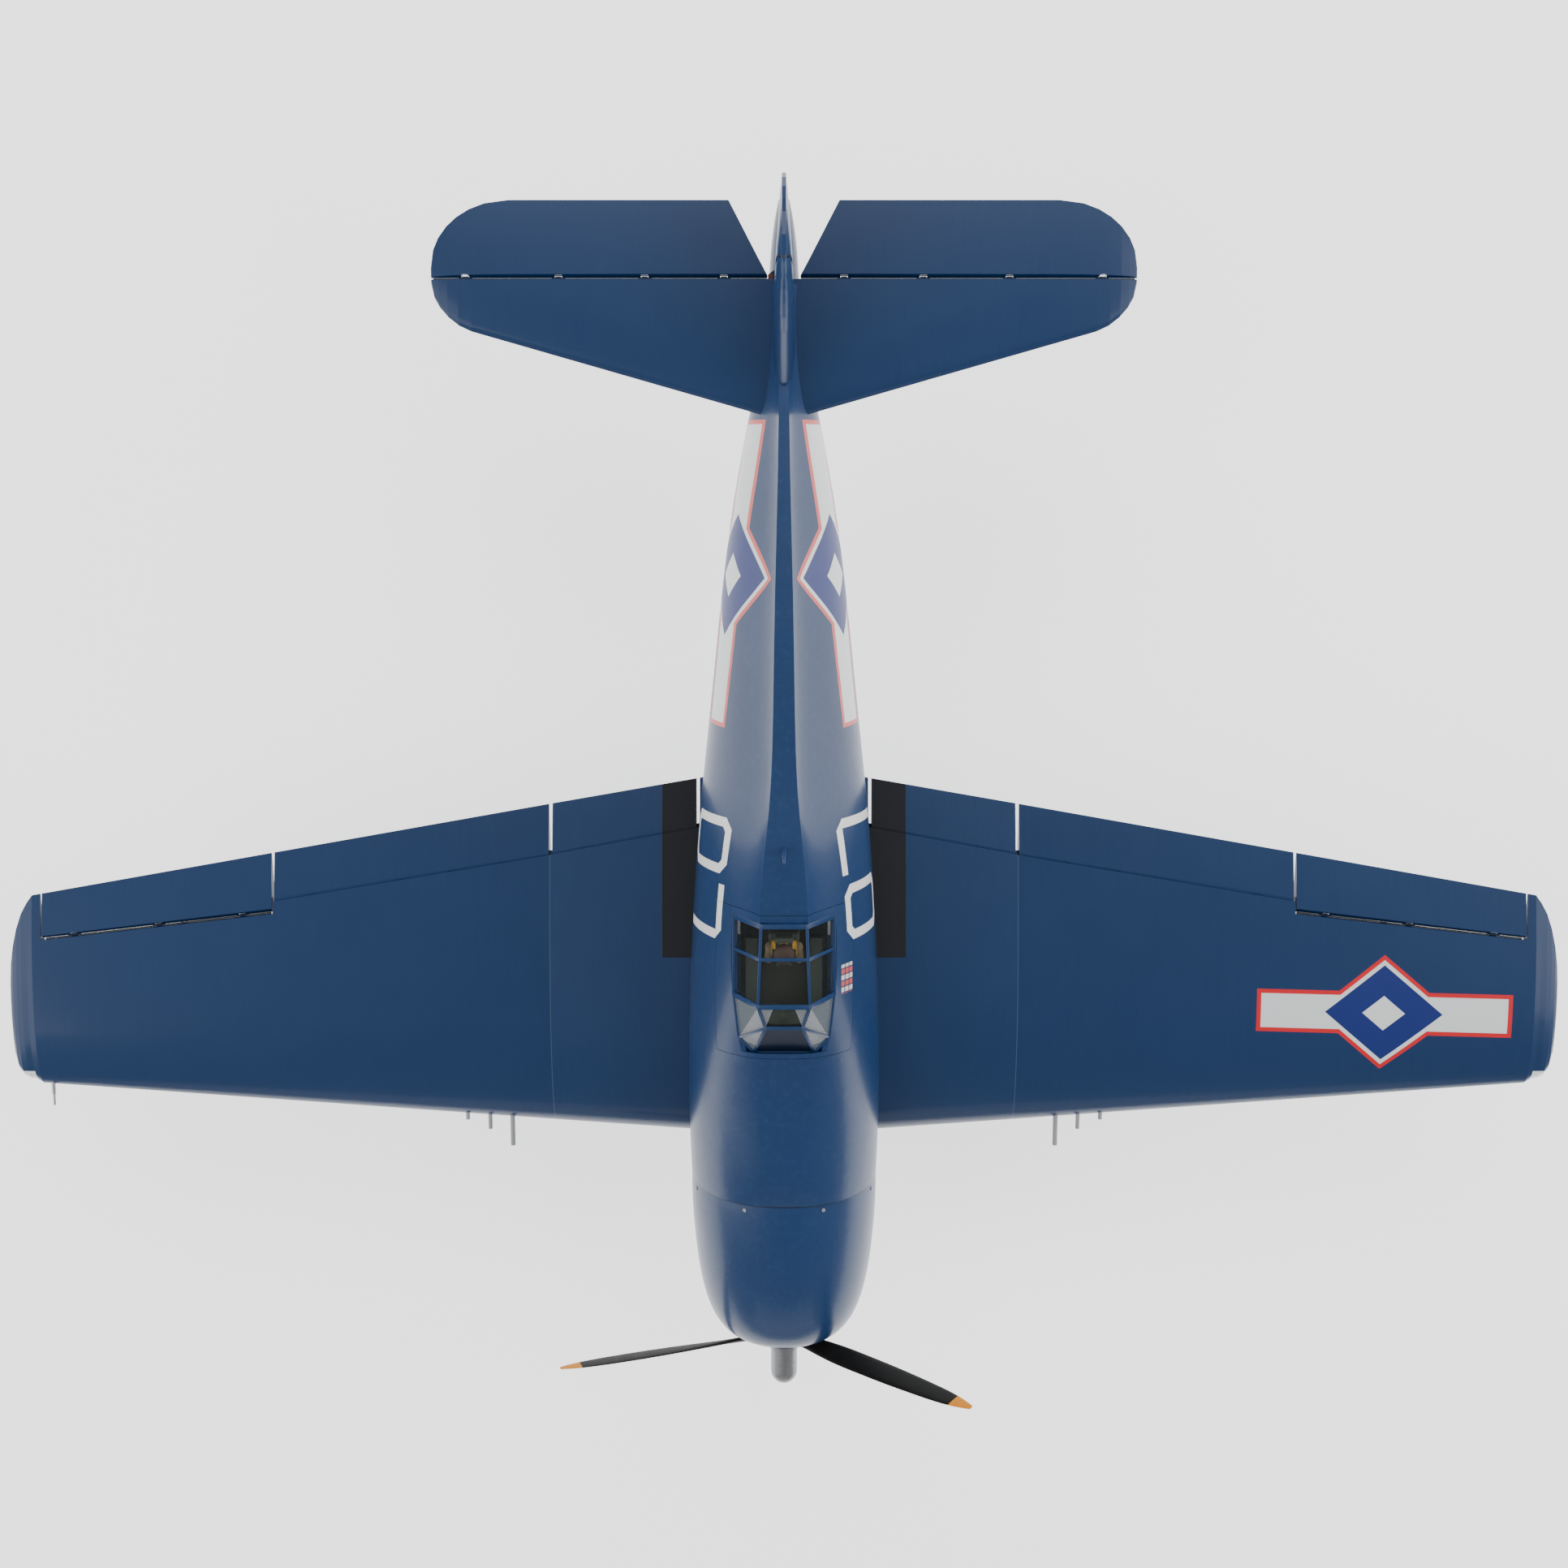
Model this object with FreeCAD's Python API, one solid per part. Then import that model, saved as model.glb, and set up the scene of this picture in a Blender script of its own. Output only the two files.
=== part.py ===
import FreeCAD
import Part
import math
import os

from FreeCAD import Vector

# Scale radio-controlled naval fighter with a radial engine cowl, modelled in level flight attitude.
# Millimetres. +X is the left wing, +Y runs aft, +Z is up. The origin lies under the middle of the
# overall length, at the height of the ground under the lowered main wheels.

# ---------------------------------------------------------------- driving dimensions
THRUST_Z = 270.0                       # propeller shaft above the ground
NOSE_Y = -622.5                        # front of the hub dome
SPAN_HALF = 813.0
SKIN = 2.5                             # fuselage and cowl shell
EPS = 0.4                              # gap between a lift-off piece and its seat

COWL_BACK_Y, COWL_LIP_Y = -380.0, -556.0
BLADE_Y, PROP_R = -566.0, 247.0
BLADE_ANGLES = (41.0, 161.0, 281.0)    # from the left wing towards the top
DOME_R = 14.2

WING_Z = THRUST_Z - 62.0               # chord line of the flat centre panels
FOLD_X, DIHEDRAL = 252.0, 7.5          # break between inner and outer panel
ROOT_THICK, FOLD_THICK, TIP_THICK = 0.150, 0.138, 0.100
TIP_RIB_X = 786.0
FLAP_IN_X, FLAP_OUT_X = 94.0, 540.2
AILERON_IN_X, AILERON_OUT_X = 543.1, 776.0
FLAP_DROP = 45.0                       # the flap noses are long enough for this travel

TAIL_Z = THRUST_Z + 72.0               # stabiliser plane
TAIL_HINGE_Y, TAIL_TE_Y, TAIL_HALF = 538.0, 610.0, 337.5
RUDDER_HINGE_Y, RUDDER_TE_Y = 537.0, 622.5
RUDDER_ARM, RUDDER_PIN_Y, RUDDER_ROD_Z = 13.0, 540.5, THRUST_Z + 60.3
RUDDER_FOOT_Z, FIN_TOP_Z = THRUST_Z + 58.0, THRUST_Z + 212.0
FUSELAGE_END_Y = 531.0
HINGE_GAP, BEVEL = 1.4, 30.0           # open space and V-cut at a centre hinge

HATCH_FRONT_Y, HATCH_BACK_Y = -218.0, -65.0
SILL_Z = THRUST_Z + 92.0               # where the cockpit hatch sits on the fuselage
COAMING_Z = THRUST_Z + 117.0           # where the canopy sits on the hatch
GLASS_FRONT_Y, GLASS_BACK_Y = -213.5, -74.0

GEAR_X, GEAR_Y, GEAR_Z = 195.0, -300.0, THRUST_Z - 64.0
WHEEL_R, WHEEL_W = 42.0, 20.0
LEG_LENGTH = GEAR_Z - WHEEL_R          # pivot to axle
TAILWHEEL_Y, TAILWHEEL_R, TAILWHEEL_TRAIL = 470.0, 15.0, 13.0
TAILWHEEL_POST_R, TAILWHEEL_AXLE_Z = 4.0, THRUST_Z - 58.0
TRAY_Z = THRUST_Z - 24.0               # battery tray

SPAR_Y, SPAR_R, SPAR_END_X = -232.0, 7.0, 164.0
DOWEL_Y, DOWEL_R = -60.0, 3.0
LINK_X, LINK_ARM = 640.0, 17.0         # aileron linkage station and its crank radius
LINK_REACH = 84.0                      # servo shaft ahead of the aileron hinge

X_AXIS, Y_AXIS, Z_AXIS = Vector(1, 0, 0), Vector(0, 1, 0), Vector(0, 0, 1)
ORIGIN = Vector(0, 0, 0)


# ---------------------------------------------------------------- small helpers
def box(x1, x2, y1, y2, z1, z2):
    return Part.makeBox(x2 - x1, y2 - y1, z2 - z1, Vector(x1, y1, z1))


def rod(start, end, radius):
    along = end - start
    return Part.makeCylinder(radius, along.Length, start, along)


def rounded_box(x1, x2, y1, y2, z1, z2, radius):
    block = box(x1, x2, y1, y2, z1, z2)
    return block.makeFillet(radius, block.Edges)


def tube(start, end, radius, bore):
    along = (end - start).normalize()
    return rod(start, end, radius).cut(rod(start - along, end + along, bore))


def fused(shapes):
    whole = shapes[0].multiFuse(shapes[1:]) if len(shapes) > 1 else shapes[0]
    return whole.removeSplitter()


def group(shapes):
    return Part.makeCompound([solid for shape in shapes for solid in shape.Solids])


def mirrored(shape):
    return shape.mirror(ORIGIN, X_AXIS)


def prism(points, along):
    return Part.Face(Part.makePolygon(points + points[:1])).extrude(along)


def blend(a, b, t):
    return a + (b - a) * t


def spline(points):
    curve = Part.BSplineCurve()
    curve.interpolate(points)
    return curve.toShape()


def bezier(points):
    curve = Part.BezierCurve()
    curve.setPoles(points)
    return curve.toShape()


def save(name, shape):
    """Writes one sub-part. Boolean left-overs without volume are dropped."""
    solids = [s for s in shape.Solids if s.Volume > 0.5]
    whole = solids[0] if len(solids) == 1 else Part.makeCompound(solids)
    if not whole.isValid():
        print("NOT VALID:", name)
    whole.exportStep(os.path.join("parts", name + ".step"))
    print(f"{name}: {len(solids)} solid(s), {sum(s.Volume for s in solids) / 1000:.1f} cm3")


def save_pair(name, left_shape):
    save("left_" + name, left_shape)
    save("right_" + name, mirrored(left_shape))


# ---------------------------------------------------------------- fuselage, cowl and hatch
# Each frame: station, half width, top, widest level, bottom (from the thrust line), half width of
# the flat spine, and how far the side bulges (0.55 is an ellipse) and droops under the spine.
FUSELAGE_FRAMES = (
    (-380.0, 98.5, 105.0, 0.0, -112.0, 14.0, 0.55, 0.00),
    (-300.0, 101.0, 114.0, -2.0, -126.0, 16.0, 0.54, 0.00),
    (-218.0, 100.5, 125.0, -4.0, -133.0, 20.0, 0.45, 0.03),
    (-65.0, 93.5, 161.0, -6.0, -129.0, 23.0, 0.22, 0.22),
    (46.0, 84.0, 150.0, -2.0, -112.0, 13.5, 0.20, 0.26),
    (150.0, 72.5, 137.0, 6.0, -88.0, 10.0, 0.20, 0.28),
    (262.0, 60.0, 123.0, 16.0, -57.0, 8.0, 0.22, 0.30),
    (409.0, 35.0, 104.0, 36.0, -14.0, 5.0, 0.20, 0.34),
    (FUSELAGE_END_Y, 16.0, 88.0, 64.0, 20.0, 3.5, 0.50, 0.10),
)


def frame_wire(station, inset):
    """Cross-section with a flat spine, straight-sided shoulders and a round belly."""
    y, half, top, wide, bottom, spine, bulge, droop = station
    half, top, bottom = half - inset, top - inset, bottom + inset
    spine = max(spine - inset * 0.6, 1.0)
    rise, drop = top - wide, wide - bottom

    def at(x, z):
        return Vector(x, y, THRUST_Z + z)

    def side(sign):
        shoulder = bezier([at(sign * spine, top),
                           at(sign * (spine + bulge * (half - spine)), top - droop * rise),
                           at(sign * half, wide + 0.50 * rise), at(sign * half, wide)])
        belly = bezier([at(sign * half, wide), at(sign * half, wide - 0.58 * drop),
                        at(sign * 0.56 * half, bottom), at(0, bottom)])
        return shoulder, belly

    right_shoulder, right_belly = side(-1)
    left_shoulder, left_belly = side(1)
    crown = Part.Arc(at(-spine, top), at(0, top + 0.04 * spine), at(spine, top)).toShape()
    return Part.Wire([left_shoulder, left_belly, right_belly, right_shoulder, crown])


def fuselage_body(inset=0.0):
    frames = [list(f) for f in FUSELAGE_FRAMES]
    if inset:
        frames[0][0] -= 1.0
        frames[-1][0] -= 4.0
    return Part.makeLoft([frame_wire(f, inset) for f in frames], True, False)


def oval_wire(y, half, top, bottom, inset=0.0):
    """Nearly round cowl section, a little flatter below than above."""
    half, top, bottom = half - inset, top - inset, bottom + inset
    middle = 0.35 * (top + bottom)
    full = 0.57

    def at(x, z):
        return Vector(x, y, THRUST_Z + z)

    def quarter(sign_x, z_end):
        tall = z_end - middle
        return bezier([at(sign_x * half, middle), at(sign_x * half, middle + full * tall),
                       at(sign_x * full * half, z_end), at(0, z_end)])

    return Part.Wire([quarter(1, top), quarter(-1, top), quarter(-1, bottom), quarter(1, bottom)])


COWL_RINGS = (
    (COWL_BACK_Y, 98.5, 105.0, -112.0),
    (-430.0, 97.2, 103.2, -111.0),
    (-480.0, 92.0, 97.0, -107.0),
    (-515.0, 84.5, 88.0, -99.0),
    (-538.0, 74.5, 77.0, -88.0),
    (-551.0, 63.0, 65.0, -76.5),
    (COWL_LIP_Y, 53.0, 55.0, -67.0),
)


def engine_cowl():
    outside = Part.makeLoft([oval_wire(*ring) for ring in COWL_RINGS], True, False)
    inner = [list(ring) for ring in COWL_RINGS]
    inner[0][0] += 1.0
    inner[-1][0] -= 1.0
    inside = Part.makeLoft([oval_wire(*ring, inset=SKIN) for ring in inner], True, False)
    return outside.cut(inside)


def windscreen_points(inset):
    """Corners of the faceted windscreen and canopy, left side, front to back."""
    k = inset
    base = COAMING_Z - (2.0 if inset else 0.0)
    top = THRUST_Z + 165.0 - k
    return {
        "front_low": Vector(29.5 - k, GLASS_FRONT_Y + 1.6 * k, base),
        "front_high": Vector(18 - 0.3 * k, -179.0 + 0.9 * k, THRUST_Z + 150.5 - k),
        "quarter_low": Vector(44.5 - 1.2 * k, -198.0 + k, base),
        "roof_front": Vector(25 - 0.6 * k, -154.0, top),
        "side_front": Vector(49.5 - 1.1 * k, -154.0, base),
        "roof_back": Vector(22 - 0.6 * k, GLASS_BACK_Y - k * 0.7, top - 2.0),
        "side_back": Vector(49.0 - 1.1 * k, GLASS_BACK_Y - k * 0.7, base),
    }


def canopy_block(inset=0.0):
    left = windscreen_points(inset)
    right = {name: Vector(-p.x, p.y, p.z) for name, p in left.items()}
    faces = []

    def add(*corners):
        faces.append(Part.Face(Part.makePolygon(list(corners) + [corners[0]])))

    for side in (left, right):
        add(side["front_low"], side["front_high"], side["roof_front"])
        add(side["front_low"], side["roof_front"], side["quarter_low"])
        add(side["quarter_low"], side["roof_front"], side["side_front"])
        add(side["side_front"], side["roof_front"], side["roof_back"])
        add(side["side_front"], side["roof_back"], side["side_back"])
    add(left["front_low"], left["front_high"], right["front_high"], right["front_low"])
    add(left["front_high"], left["roof_front"], right["roof_front"], right["front_high"])
    add(left["roof_front"], left["roof_back"], right["roof_back"], right["roof_front"])
    add(left["roof_back"], left["side_back"], right["side_back"], right["roof_back"])
    floor = [left[n] for n in ("front_low", "quarter_low", "side_front", "side_back")]
    add(*(floor + [right[n] for n in ("side_back", "side_front", "quarter_low", "front_low")]))
    solid = Part.makeSolid(Part.makeShell(faces))
    if solid.Volume < 0:
        solid.reverse()
    return solid


def canopy_glass():
    return canopy_block().cut(canopy_block(1.2))


def cockpit_hatch(outer, inner):
    """The lift-off deck round the cockpit, with its floor and the arch behind the canopy."""
    wide, high = 130.0, THRUST_Z + 200.0
    y1, y2 = HATCH_FRONT_Y + EPS, HATCH_BACK_Y - EPS
    low = SILL_Z + EPS
    deck = fused([
        outer.common(box(-wide, wide, y1, GLASS_FRONT_Y + 1.0, low, high)),
        outer.common(box(-wide, wide, GLASS_FRONT_Y + 1.0, GLASS_BACK_Y, low, COAMING_Z)),
        outer.common(box(-wide, wide, GLASS_BACK_Y, y2, low, high)),
    ])
    room = inner.common(box(-wide, wide, y1 + 4, GLASS_BACK_Y - 1.5, low - 5, high))
    room = room.common(box(-46, 46, y1, y2, low + 3.0, high))
    under = box(-60, 60, y1 + 3, y2 - 3, low - 1, low + 1.2).common(inner)
    return deck.cut(room).cut(under)


def fuselage_shell(outer, inner):
    opening = box(-130, 130, HATCH_FRONT_Y, HATCH_BACK_Y, SILL_Z, THRUST_Z + 220)
    shell = outer.cut(inner).cut(opening)
    spar_hole = rod(Vector(-130, SPAR_Y, WING_Z + 4), Vector(130, SPAR_Y, WING_Z + 4), SPAR_R + 0.1)
    dowel_hole = rod(Vector(-130, DOWEL_Y, WING_Z + 3), Vector(130, DOWEL_Y, WING_Z + 3), DOWEL_R)
    post_hole = rod(Vector(0, TAILWHEEL_Y, THRUST_Z - 40), Vector(0, TAILWHEEL_Y, THRUST_Z + 20),
                    TAILWHEEL_POST_R + 0.6)
    rod_slot = box(-22, -RUDDER_ARM + 3.2, 490, 540, RUDDER_ROD_Z - 3.4, RUDDER_ROD_Z + 3.4)
    for hole in (spar_hole, dowel_hole, post_hole, rod_slot):
        shell = shell.cut(hole)
    return group([shell, tail_cone()])


def tail_cone():
    """Fixed cone under the rudder."""
    rings = ((FUSELAGE_END_Y + 0.1, 15.8, 55.0, 20.5), (565.0, 13.4, 53.0, 25.0), (597.0, 9.6, 50.0, 31.0),
             (617.0, 5.5, 47.0, 36.0))
    return Part.makeLoft([oval_wire(*ring) for ring in rings], True, False)


# ---------------------------------------------------------------- lifting surfaces
def half_thickness(x):
    """NACA four-digit thickness form for unit chord and unit thickness."""
    return 5 * (0.2969 * math.sqrt(x) - 0.1260 * x - 0.3516 * x**2 + 0.2843 * x**3 - 0.1015 * x**4)


def camber_line(x, camber, peak=0.4):
    if x < peak:
        return camber / peak**2 * (2 * peak * x - x * x)
    return camber / (1 - peak)**2 * (1 - 2 * peak + 2 * peak * x - x * x)


def section_wire(place, chord, thick, camber, edge=0.35):
    """Airfoil wire. place(x, t) puts chordwise x (0 to 1) and offset t (in chords) into space.

    edge is half the thickness left at the trailing edge."""
    count = 11
    stations = [0.5 * (1 - math.cos(math.pi * i / (count - 1))) for i in range(count)]

    def surface(sign):
        return [place(x, camber_line(x, camber) + sign * (thick * half_thickness(x) + edge * x / chord))
                for x in stations]

    upper, lower = surface(1), surface(-1)
    nose = place(-0.001, 0)
    upper[0] = lower[0] = nose
    return Part.Wire([spline(upper[::-1]), spline(lower), Part.makeLine(lower[-1], upper[-1])])


def wing_line(x):
    """Leading edge, trailing edge and height of the wing chord at span station x."""
    if x <= FOLD_X:
        return -363.5 + 0.0727 * x, 52.6 - 0.175 * x, WING_Z
    out = x - FOLD_X
    return -345.2 + 0.1218 * out, 8.5 - 0.161 * out, WING_Z + out * math.tan(math.radians(DIHEDRAL))


def wing_thickness(x):
    if x <= FOLD_X:
        return blend(ROOT_THICK, FOLD_THICK, x / FOLD_X)
    return blend(FOLD_THICK, TIP_THICK, (x - FOLD_X) / (TIP_RIB_X - FOLD_X))


def wing_section(x, front=None, back=None, thin=1.0, camber=0.02):
    line_front, line_back, height = wing_line(x)
    front = line_front if front is None else front
    back = line_back if back is None else back
    chord = back - front
    thick = wing_thickness(min(x, TIP_RIB_X)) * (line_back - line_front) / chord * thin
    return section_wire(lambda u, t: Vector(x, front + u * chord, height + t * chord), chord, thick, camber)


def wing_surface(x, y, side):
    """Height of the upper (+1) or lower (-1) skin at a point of the wing."""
    front, back, height = wing_line(x)
    chord = back - front
    u = (y - front) / chord
    half = side * wing_thickness(x) * half_thickness(u)
    return height + chord * (camber_line(u, 0.02) + half) + side * 0.35 * u


def wing_tip():
    """The rounded end: the plan outline closes in as the section thins."""
    out = SPAN_HALF - TIP_RIB_X
    sections = [wing_section(TIP_RIB_X)]
    for share in (0.22, 0.45, 0.66, 0.83, 0.94, 1.0):
        x = TIP_RIB_X + share * out
        front, back, _ = wing_line(x)
        close = 1 - math.sqrt(max(1 - (share * 0.992) ** 2, 0))
        sections.append(wing_section(x, front + 4 + 62 * close**2.2, back - 98 * close**0.85 - 3,
                                     math.sqrt(1.02 - share**2.2), 0.012))
    return Part.makeLoft(sections, True, True)


def slab(x1, x2):
    return box(x1, x2, -900, 900, -400, 900)


class Hinge:
    """A straight hinge line between two points, with the direction that runs aft from it."""

    def __init__(self, start, end, up, leaf_lift=0.0):
        self.start, self.end, self.leaf_lift = start, end, leaf_lift
        self.along = (end - start).normalize()
        self.aft = up.cross(self.along).normalize()
        if self.aft.y < 0:
            self.aft = self.aft * -1
        self.lift = self.along.cross(self.aft).normalize()
        if self.lift.dot(up) < 0:
            self.lift = self.lift * -1

    def at(self, share):
        return self.start + (self.end - self.start) * share

    def wedge(self, outline, extra=30.0):
        """Prism along the hinge with an outline given as (aft, lift) pairs."""
        base = self.start - self.along * extra
        corners = [base + self.aft * a + self.lift * h for a, h in outline]
        return prism(corners, self.along * ((self.end - self.start).Length + 2 * extra))

    def moving_part(self, deep=140.0, tall=60.0):
        """Everything behind a V-shaped nose whose tip lies on the hinge line."""
        back = tall * math.tan(math.radians(BEVEL))
        return self.wedge([(0, 0), (back, tall), (deep, tall), (deep, -tall), (back, -tall)])

    def open_part(self, deep=140.0, tall=60.0):
        return self.wedge([(-HINGE_GAP, tall), (deep, tall), (deep, -tall), (-HINGE_GAP, -tall)])

    def knuckle(self, share):
        """Fixed half of one hinge: a barrel on the hinge line and its flat leaf, then the bore."""
        middle = self.at(share)
        barrel = rod(middle - self.along * 3, middle + self.along * 3, 1.7)
        low = middle - self.along * 2.5 + self.lift * (self.leaf_lift - 0.6)
        corners = [low - self.aft * 12, low, low + self.lift * 1.2, low + self.lift * 1.2 - self.aft * 12]
        bore = rod(middle - self.along * 5, middle + self.along * 5, 0.85)
        return fused([barrel, prism(corners, self.along * 5)]), bore

    def pin(self, share):
        middle = self.at(share)
        return rod(middle - self.along * 6.5, middle + self.along * 6.5, 0.75)

    def notch(self, share):
        middle = self.at(share) - self.along * 3.6 - self.aft * 6 - self.lift * 4.5
        corners = [middle, middle + self.aft * 9.2, middle + self.aft * 9.2 + self.lift * 9,
                   middle + self.lift * 9]
        return prism(corners, self.along * 7.2)


def hang(moving, fixed, hinge, shares):
    """Cuts the hinge pockets, puts the pins in the moving piece, and returns the fixed halves too."""
    knuckles = []
    for share in shares:
        knuckle, bore = hinge.knuckle(share)
        moving = moving.cut(hinge.notch(share))
        fixed = fixed.cut(knuckle)
        knuckles.append(knuckle.cut(bore))
    return fused([moving] + [hinge.pin(s) for s in shares]), fixed, knuckles


def split_centre_hinge(surface, hinge, span, clear):
    """Cuts a centre-hinged control surface out of a wing or tail surface."""
    x1, x2 = span
    moving = surface.common(hinge.moving_part()).common(slab(x1 + clear, x2 - clear))
    return moving, surface.cut(hinge.open_part().common(slab(x1, x2)))


def split_flap(surface, hinge, thick, span, clear, gap=0.7):
    """Cuts a flap that is hinged at the lower skin and has a round nose under the upper skin."""
    x1, x2 = span
    length, past = (hinge.end - hinge.start).Length, 12.0
    taper = (thick[1] - thick[0]) / length * past

    def roll(extra):
        return Part.makeCone(thick[0] - taper + extra, thick[1] + taper + extra, length + 2 * past,
                             hinge.start - hinge.along * past, hinge.along)

    def sector(spare, drop):
        slope = math.tan(math.radians(90 - FLAP_DROP - spare))
        return hinge.wedge([(0.5, -drop), (0.5, 90), (-90, 90), (-90, 90 * slope - drop)])

    behind = hinge.wedge([(0, -60), (140, -60), (140, 60), (0, 60)])
    nose = roll(0).common(sector(10, 0))
    cove = roll(gap).common(sector(14, 1.6))
    behind_cove = hinge.wedge([(-gap * 0.2, -60), (140, -60), (140, 60), (-gap * 0.2, 60)])
    moving = surface.common(fused([behind, nose])).common(slab(x1 + clear, x2 - clear))
    return moving, surface.cut(fused([behind_cove, cove]).common(slab(x1, x2)))


# ---------------------------------------------------------------- wing assembly (left side)


def flap_hinge(x1, x2):
    def hinge_y(x):
        return 4.9 - 0.186 * x if x <= FOLD_X else -42.0 - 0.152 * (x - FOLD_X)

    def low(x):
        return Vector(x, hinge_y(x), wing_surface(x, hinge_y(x), -1) + 0.2)

    def thick(x):
        return wing_surface(x, hinge_y(x), 1) - wing_surface(x, hinge_y(x), -1)

    return Hinge(low(x1), low(x2), Z_AXIS, 0.9), (thick(x1), thick(x2))


def aileron_hinge():
    def middle(x):
        y = -100.6 - 0.0934 * (x - 538.4)
        return Vector(x, y, 0.5 * (wing_surface(x, y, 1) + wing_surface(x, y, -1)))

    return Hinge(middle(AILERON_IN_X - 2), middle(AILERON_OUT_X + 2), Z_AXIS)


def wheel_bay():
    """Round well for the flat-lying wheel, slot for the leg and a pocket for the pivot block."""
    roof = GEAR_Z + 14.0
    wheel_y = GEAR_Y + LEG_LENGTH
    well = rod(Vector(GEAR_X, wheel_y, GEAR_Z - 60), Vector(GEAR_X, wheel_y, roof), WHEEL_R + 6)
    slot = box(GEAR_X - 22, GEAR_X + 22, GEAR_Y, wheel_y + 11, GEAR_Z - 60, GEAR_Z + 21)
    pocket = box(GEAR_X - 24, GEAR_X + 24, GEAR_Y - 22, GEAR_Y + 24, GEAR_Z - 60, GEAR_Z + 21)
    return fused([well, slot, pocket])


def trunnion_blocks():
    """The fixed bearing blocks that carry the swinging leg."""
    blocks = []
    for side in (-1, 1):
        x = GEAR_X + side * 19
        cheek = box(x - 4.5, x + 4.5, GEAR_Y - 12, GEAR_Y + 12, GEAR_Z - 9, GEAR_Z + 20.5)
        blocks.append(cheek.cut(rod(Vector(x - 6, GEAR_Y, GEAR_Z), Vector(x + 6, GEAR_Y, GEAR_Z), 3.05)))
    return group(blocks)


def link_point():
    """Where the aileron linkage station meets the hinge line."""
    hinge = aileron_hinge()
    share = (LINK_X - hinge.start.x) / (hinge.end.x - hinge.start.x)
    return hinge.at(share)


def servo_shaft_point():
    base = link_point()
    return Vector(base.x, base.y - LINK_REACH, base.z)


def aileron_servo_bay():
    shaft = servo_shaft_point()
    floor = wing_surface(LINK_X, shaft.y, -1)
    pocket = box(LINK_X - 24, LINK_X + 4, shaft.y - 16, shaft.y + 16, floor - 5, floor + 20)
    plate = box(LINK_X - 28, LINK_X + 10, shaft.y - 22, shaft.y + 22, floor - 4, floor + 1.4)
    return pocket, plate, floor


def aileron_servo():
    shaft = servo_shaft_point()
    _, _, floor = aileron_servo_bay()
    case = box(LINK_X - 23, LINK_X - 6, shaft.y - 15, shaft.y + 8, floor + 1.6, floor + 17)
    boss = rod(Vector(LINK_X - 6.5, shaft.y, shaft.z), Vector(LINK_X - 3, shaft.y, shaft.z), 2.6)
    return fused([case, boss])


def servo_hatch():
    shaft = servo_shaft_point()
    _, _, floor = aileron_servo_bay()
    plate = box(LINK_X - 28, LINK_X + 10, shaft.y - 22, shaft.y + 22, floor + 0.2, floor + 1.4)
    slot = box(LINK_X - 3.6, LINK_X + 3.6, shaft.y - 16, shaft.y + 16, floor - 2, floor + 4)
    screws = [rod(Vector(LINK_X + dx, shaft.y + dy, floor - 0.5),
                  Vector(LINK_X + dx, shaft.y + dy, floor + 0.3), 1.6)
              for dx in (-25, 7) for dy in (-19, 19)]
    return fused([plate.cut(slot)] + screws)


def aileron_arm():
    shaft = servo_shaft_point()
    hub = tube(Vector(LINK_X - 2.8, shaft.y, shaft.z), Vector(LINK_X + 1.2, shaft.y, shaft.z), 3.4, 1.0)
    tip = Vector(LINK_X, shaft.y, shaft.z - LINK_ARM - 1.5)
    bar = box(LINK_X - 0.8, LINK_X + 0.8, shaft.y - 2.2, shaft.y + 2.2, tip.z, shaft.z - 2.5)
    end = rod(Vector(LINK_X - 0.8, shaft.y, tip.z + 1.5), Vector(LINK_X + 0.8, shaft.y, tip.z + 1.5), 2.4)
    hole = rod(Vector(LINK_X - 5, shaft.y, tip.z + 1.5), Vector(LINK_X + 5, shaft.y, tip.z + 1.5), 0.8)
    return fused([hub, bar, end]).cut(hole)


def aileron_rod():
    """Push rod with an open clevis at each end."""
    shaft, base = servo_shaft_point(), link_point()
    z = shaft.z - LINK_ARM

    def clevis(y, away):
        near, far = sorted((y - away * 3, y + away * 13))
        prongs = [box(LINK_X + s * 2.4 - 0.5, LINK_X + s * 2.4 + 0.5, near, far, z - 2, z + 2)
                  for s in (-1, 1)]
        near, far = sorted((y + away * 10, y + away * 16))
        return fused(prongs + [box(LINK_X - 2.9, LINK_X + 2.9, near, far, z - 2, z + 2)])

    shank = rod(Vector(LINK_X, shaft.y + 15, z), Vector(LINK_X, base.y - 15, z), 1.1)
    return fused([clevis(shaft.y, 1), shank, clevis(base.y, -1)])


def aileron_horn():
    base = link_point()
    low = wing_surface(LINK_X, base.y + 10, -1)
    z = base.z - LINK_ARM
    outline = [Vector(LINK_X - 0.8, base.y + 4.5, low + 2.5), Vector(LINK_X - 0.8, base.y + 20, low + 2.5),
               Vector(LINK_X - 0.8, base.y + 20, low - 0.8), Vector(LINK_X - 0.8, base.y + 2.6, z - 2.2),
               Vector(LINK_X - 0.8, base.y - 2.4, z - 2.2), Vector(LINK_X - 0.8, base.y - 2.4, z + 2.2)]
    hole = rod(Vector(LINK_X - 5, base.y, z), Vector(LINK_X + 5, base.y, z), 0.8)
    return prism(outline, Vector(1.6, 0, 0)).cut(hole)


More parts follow.
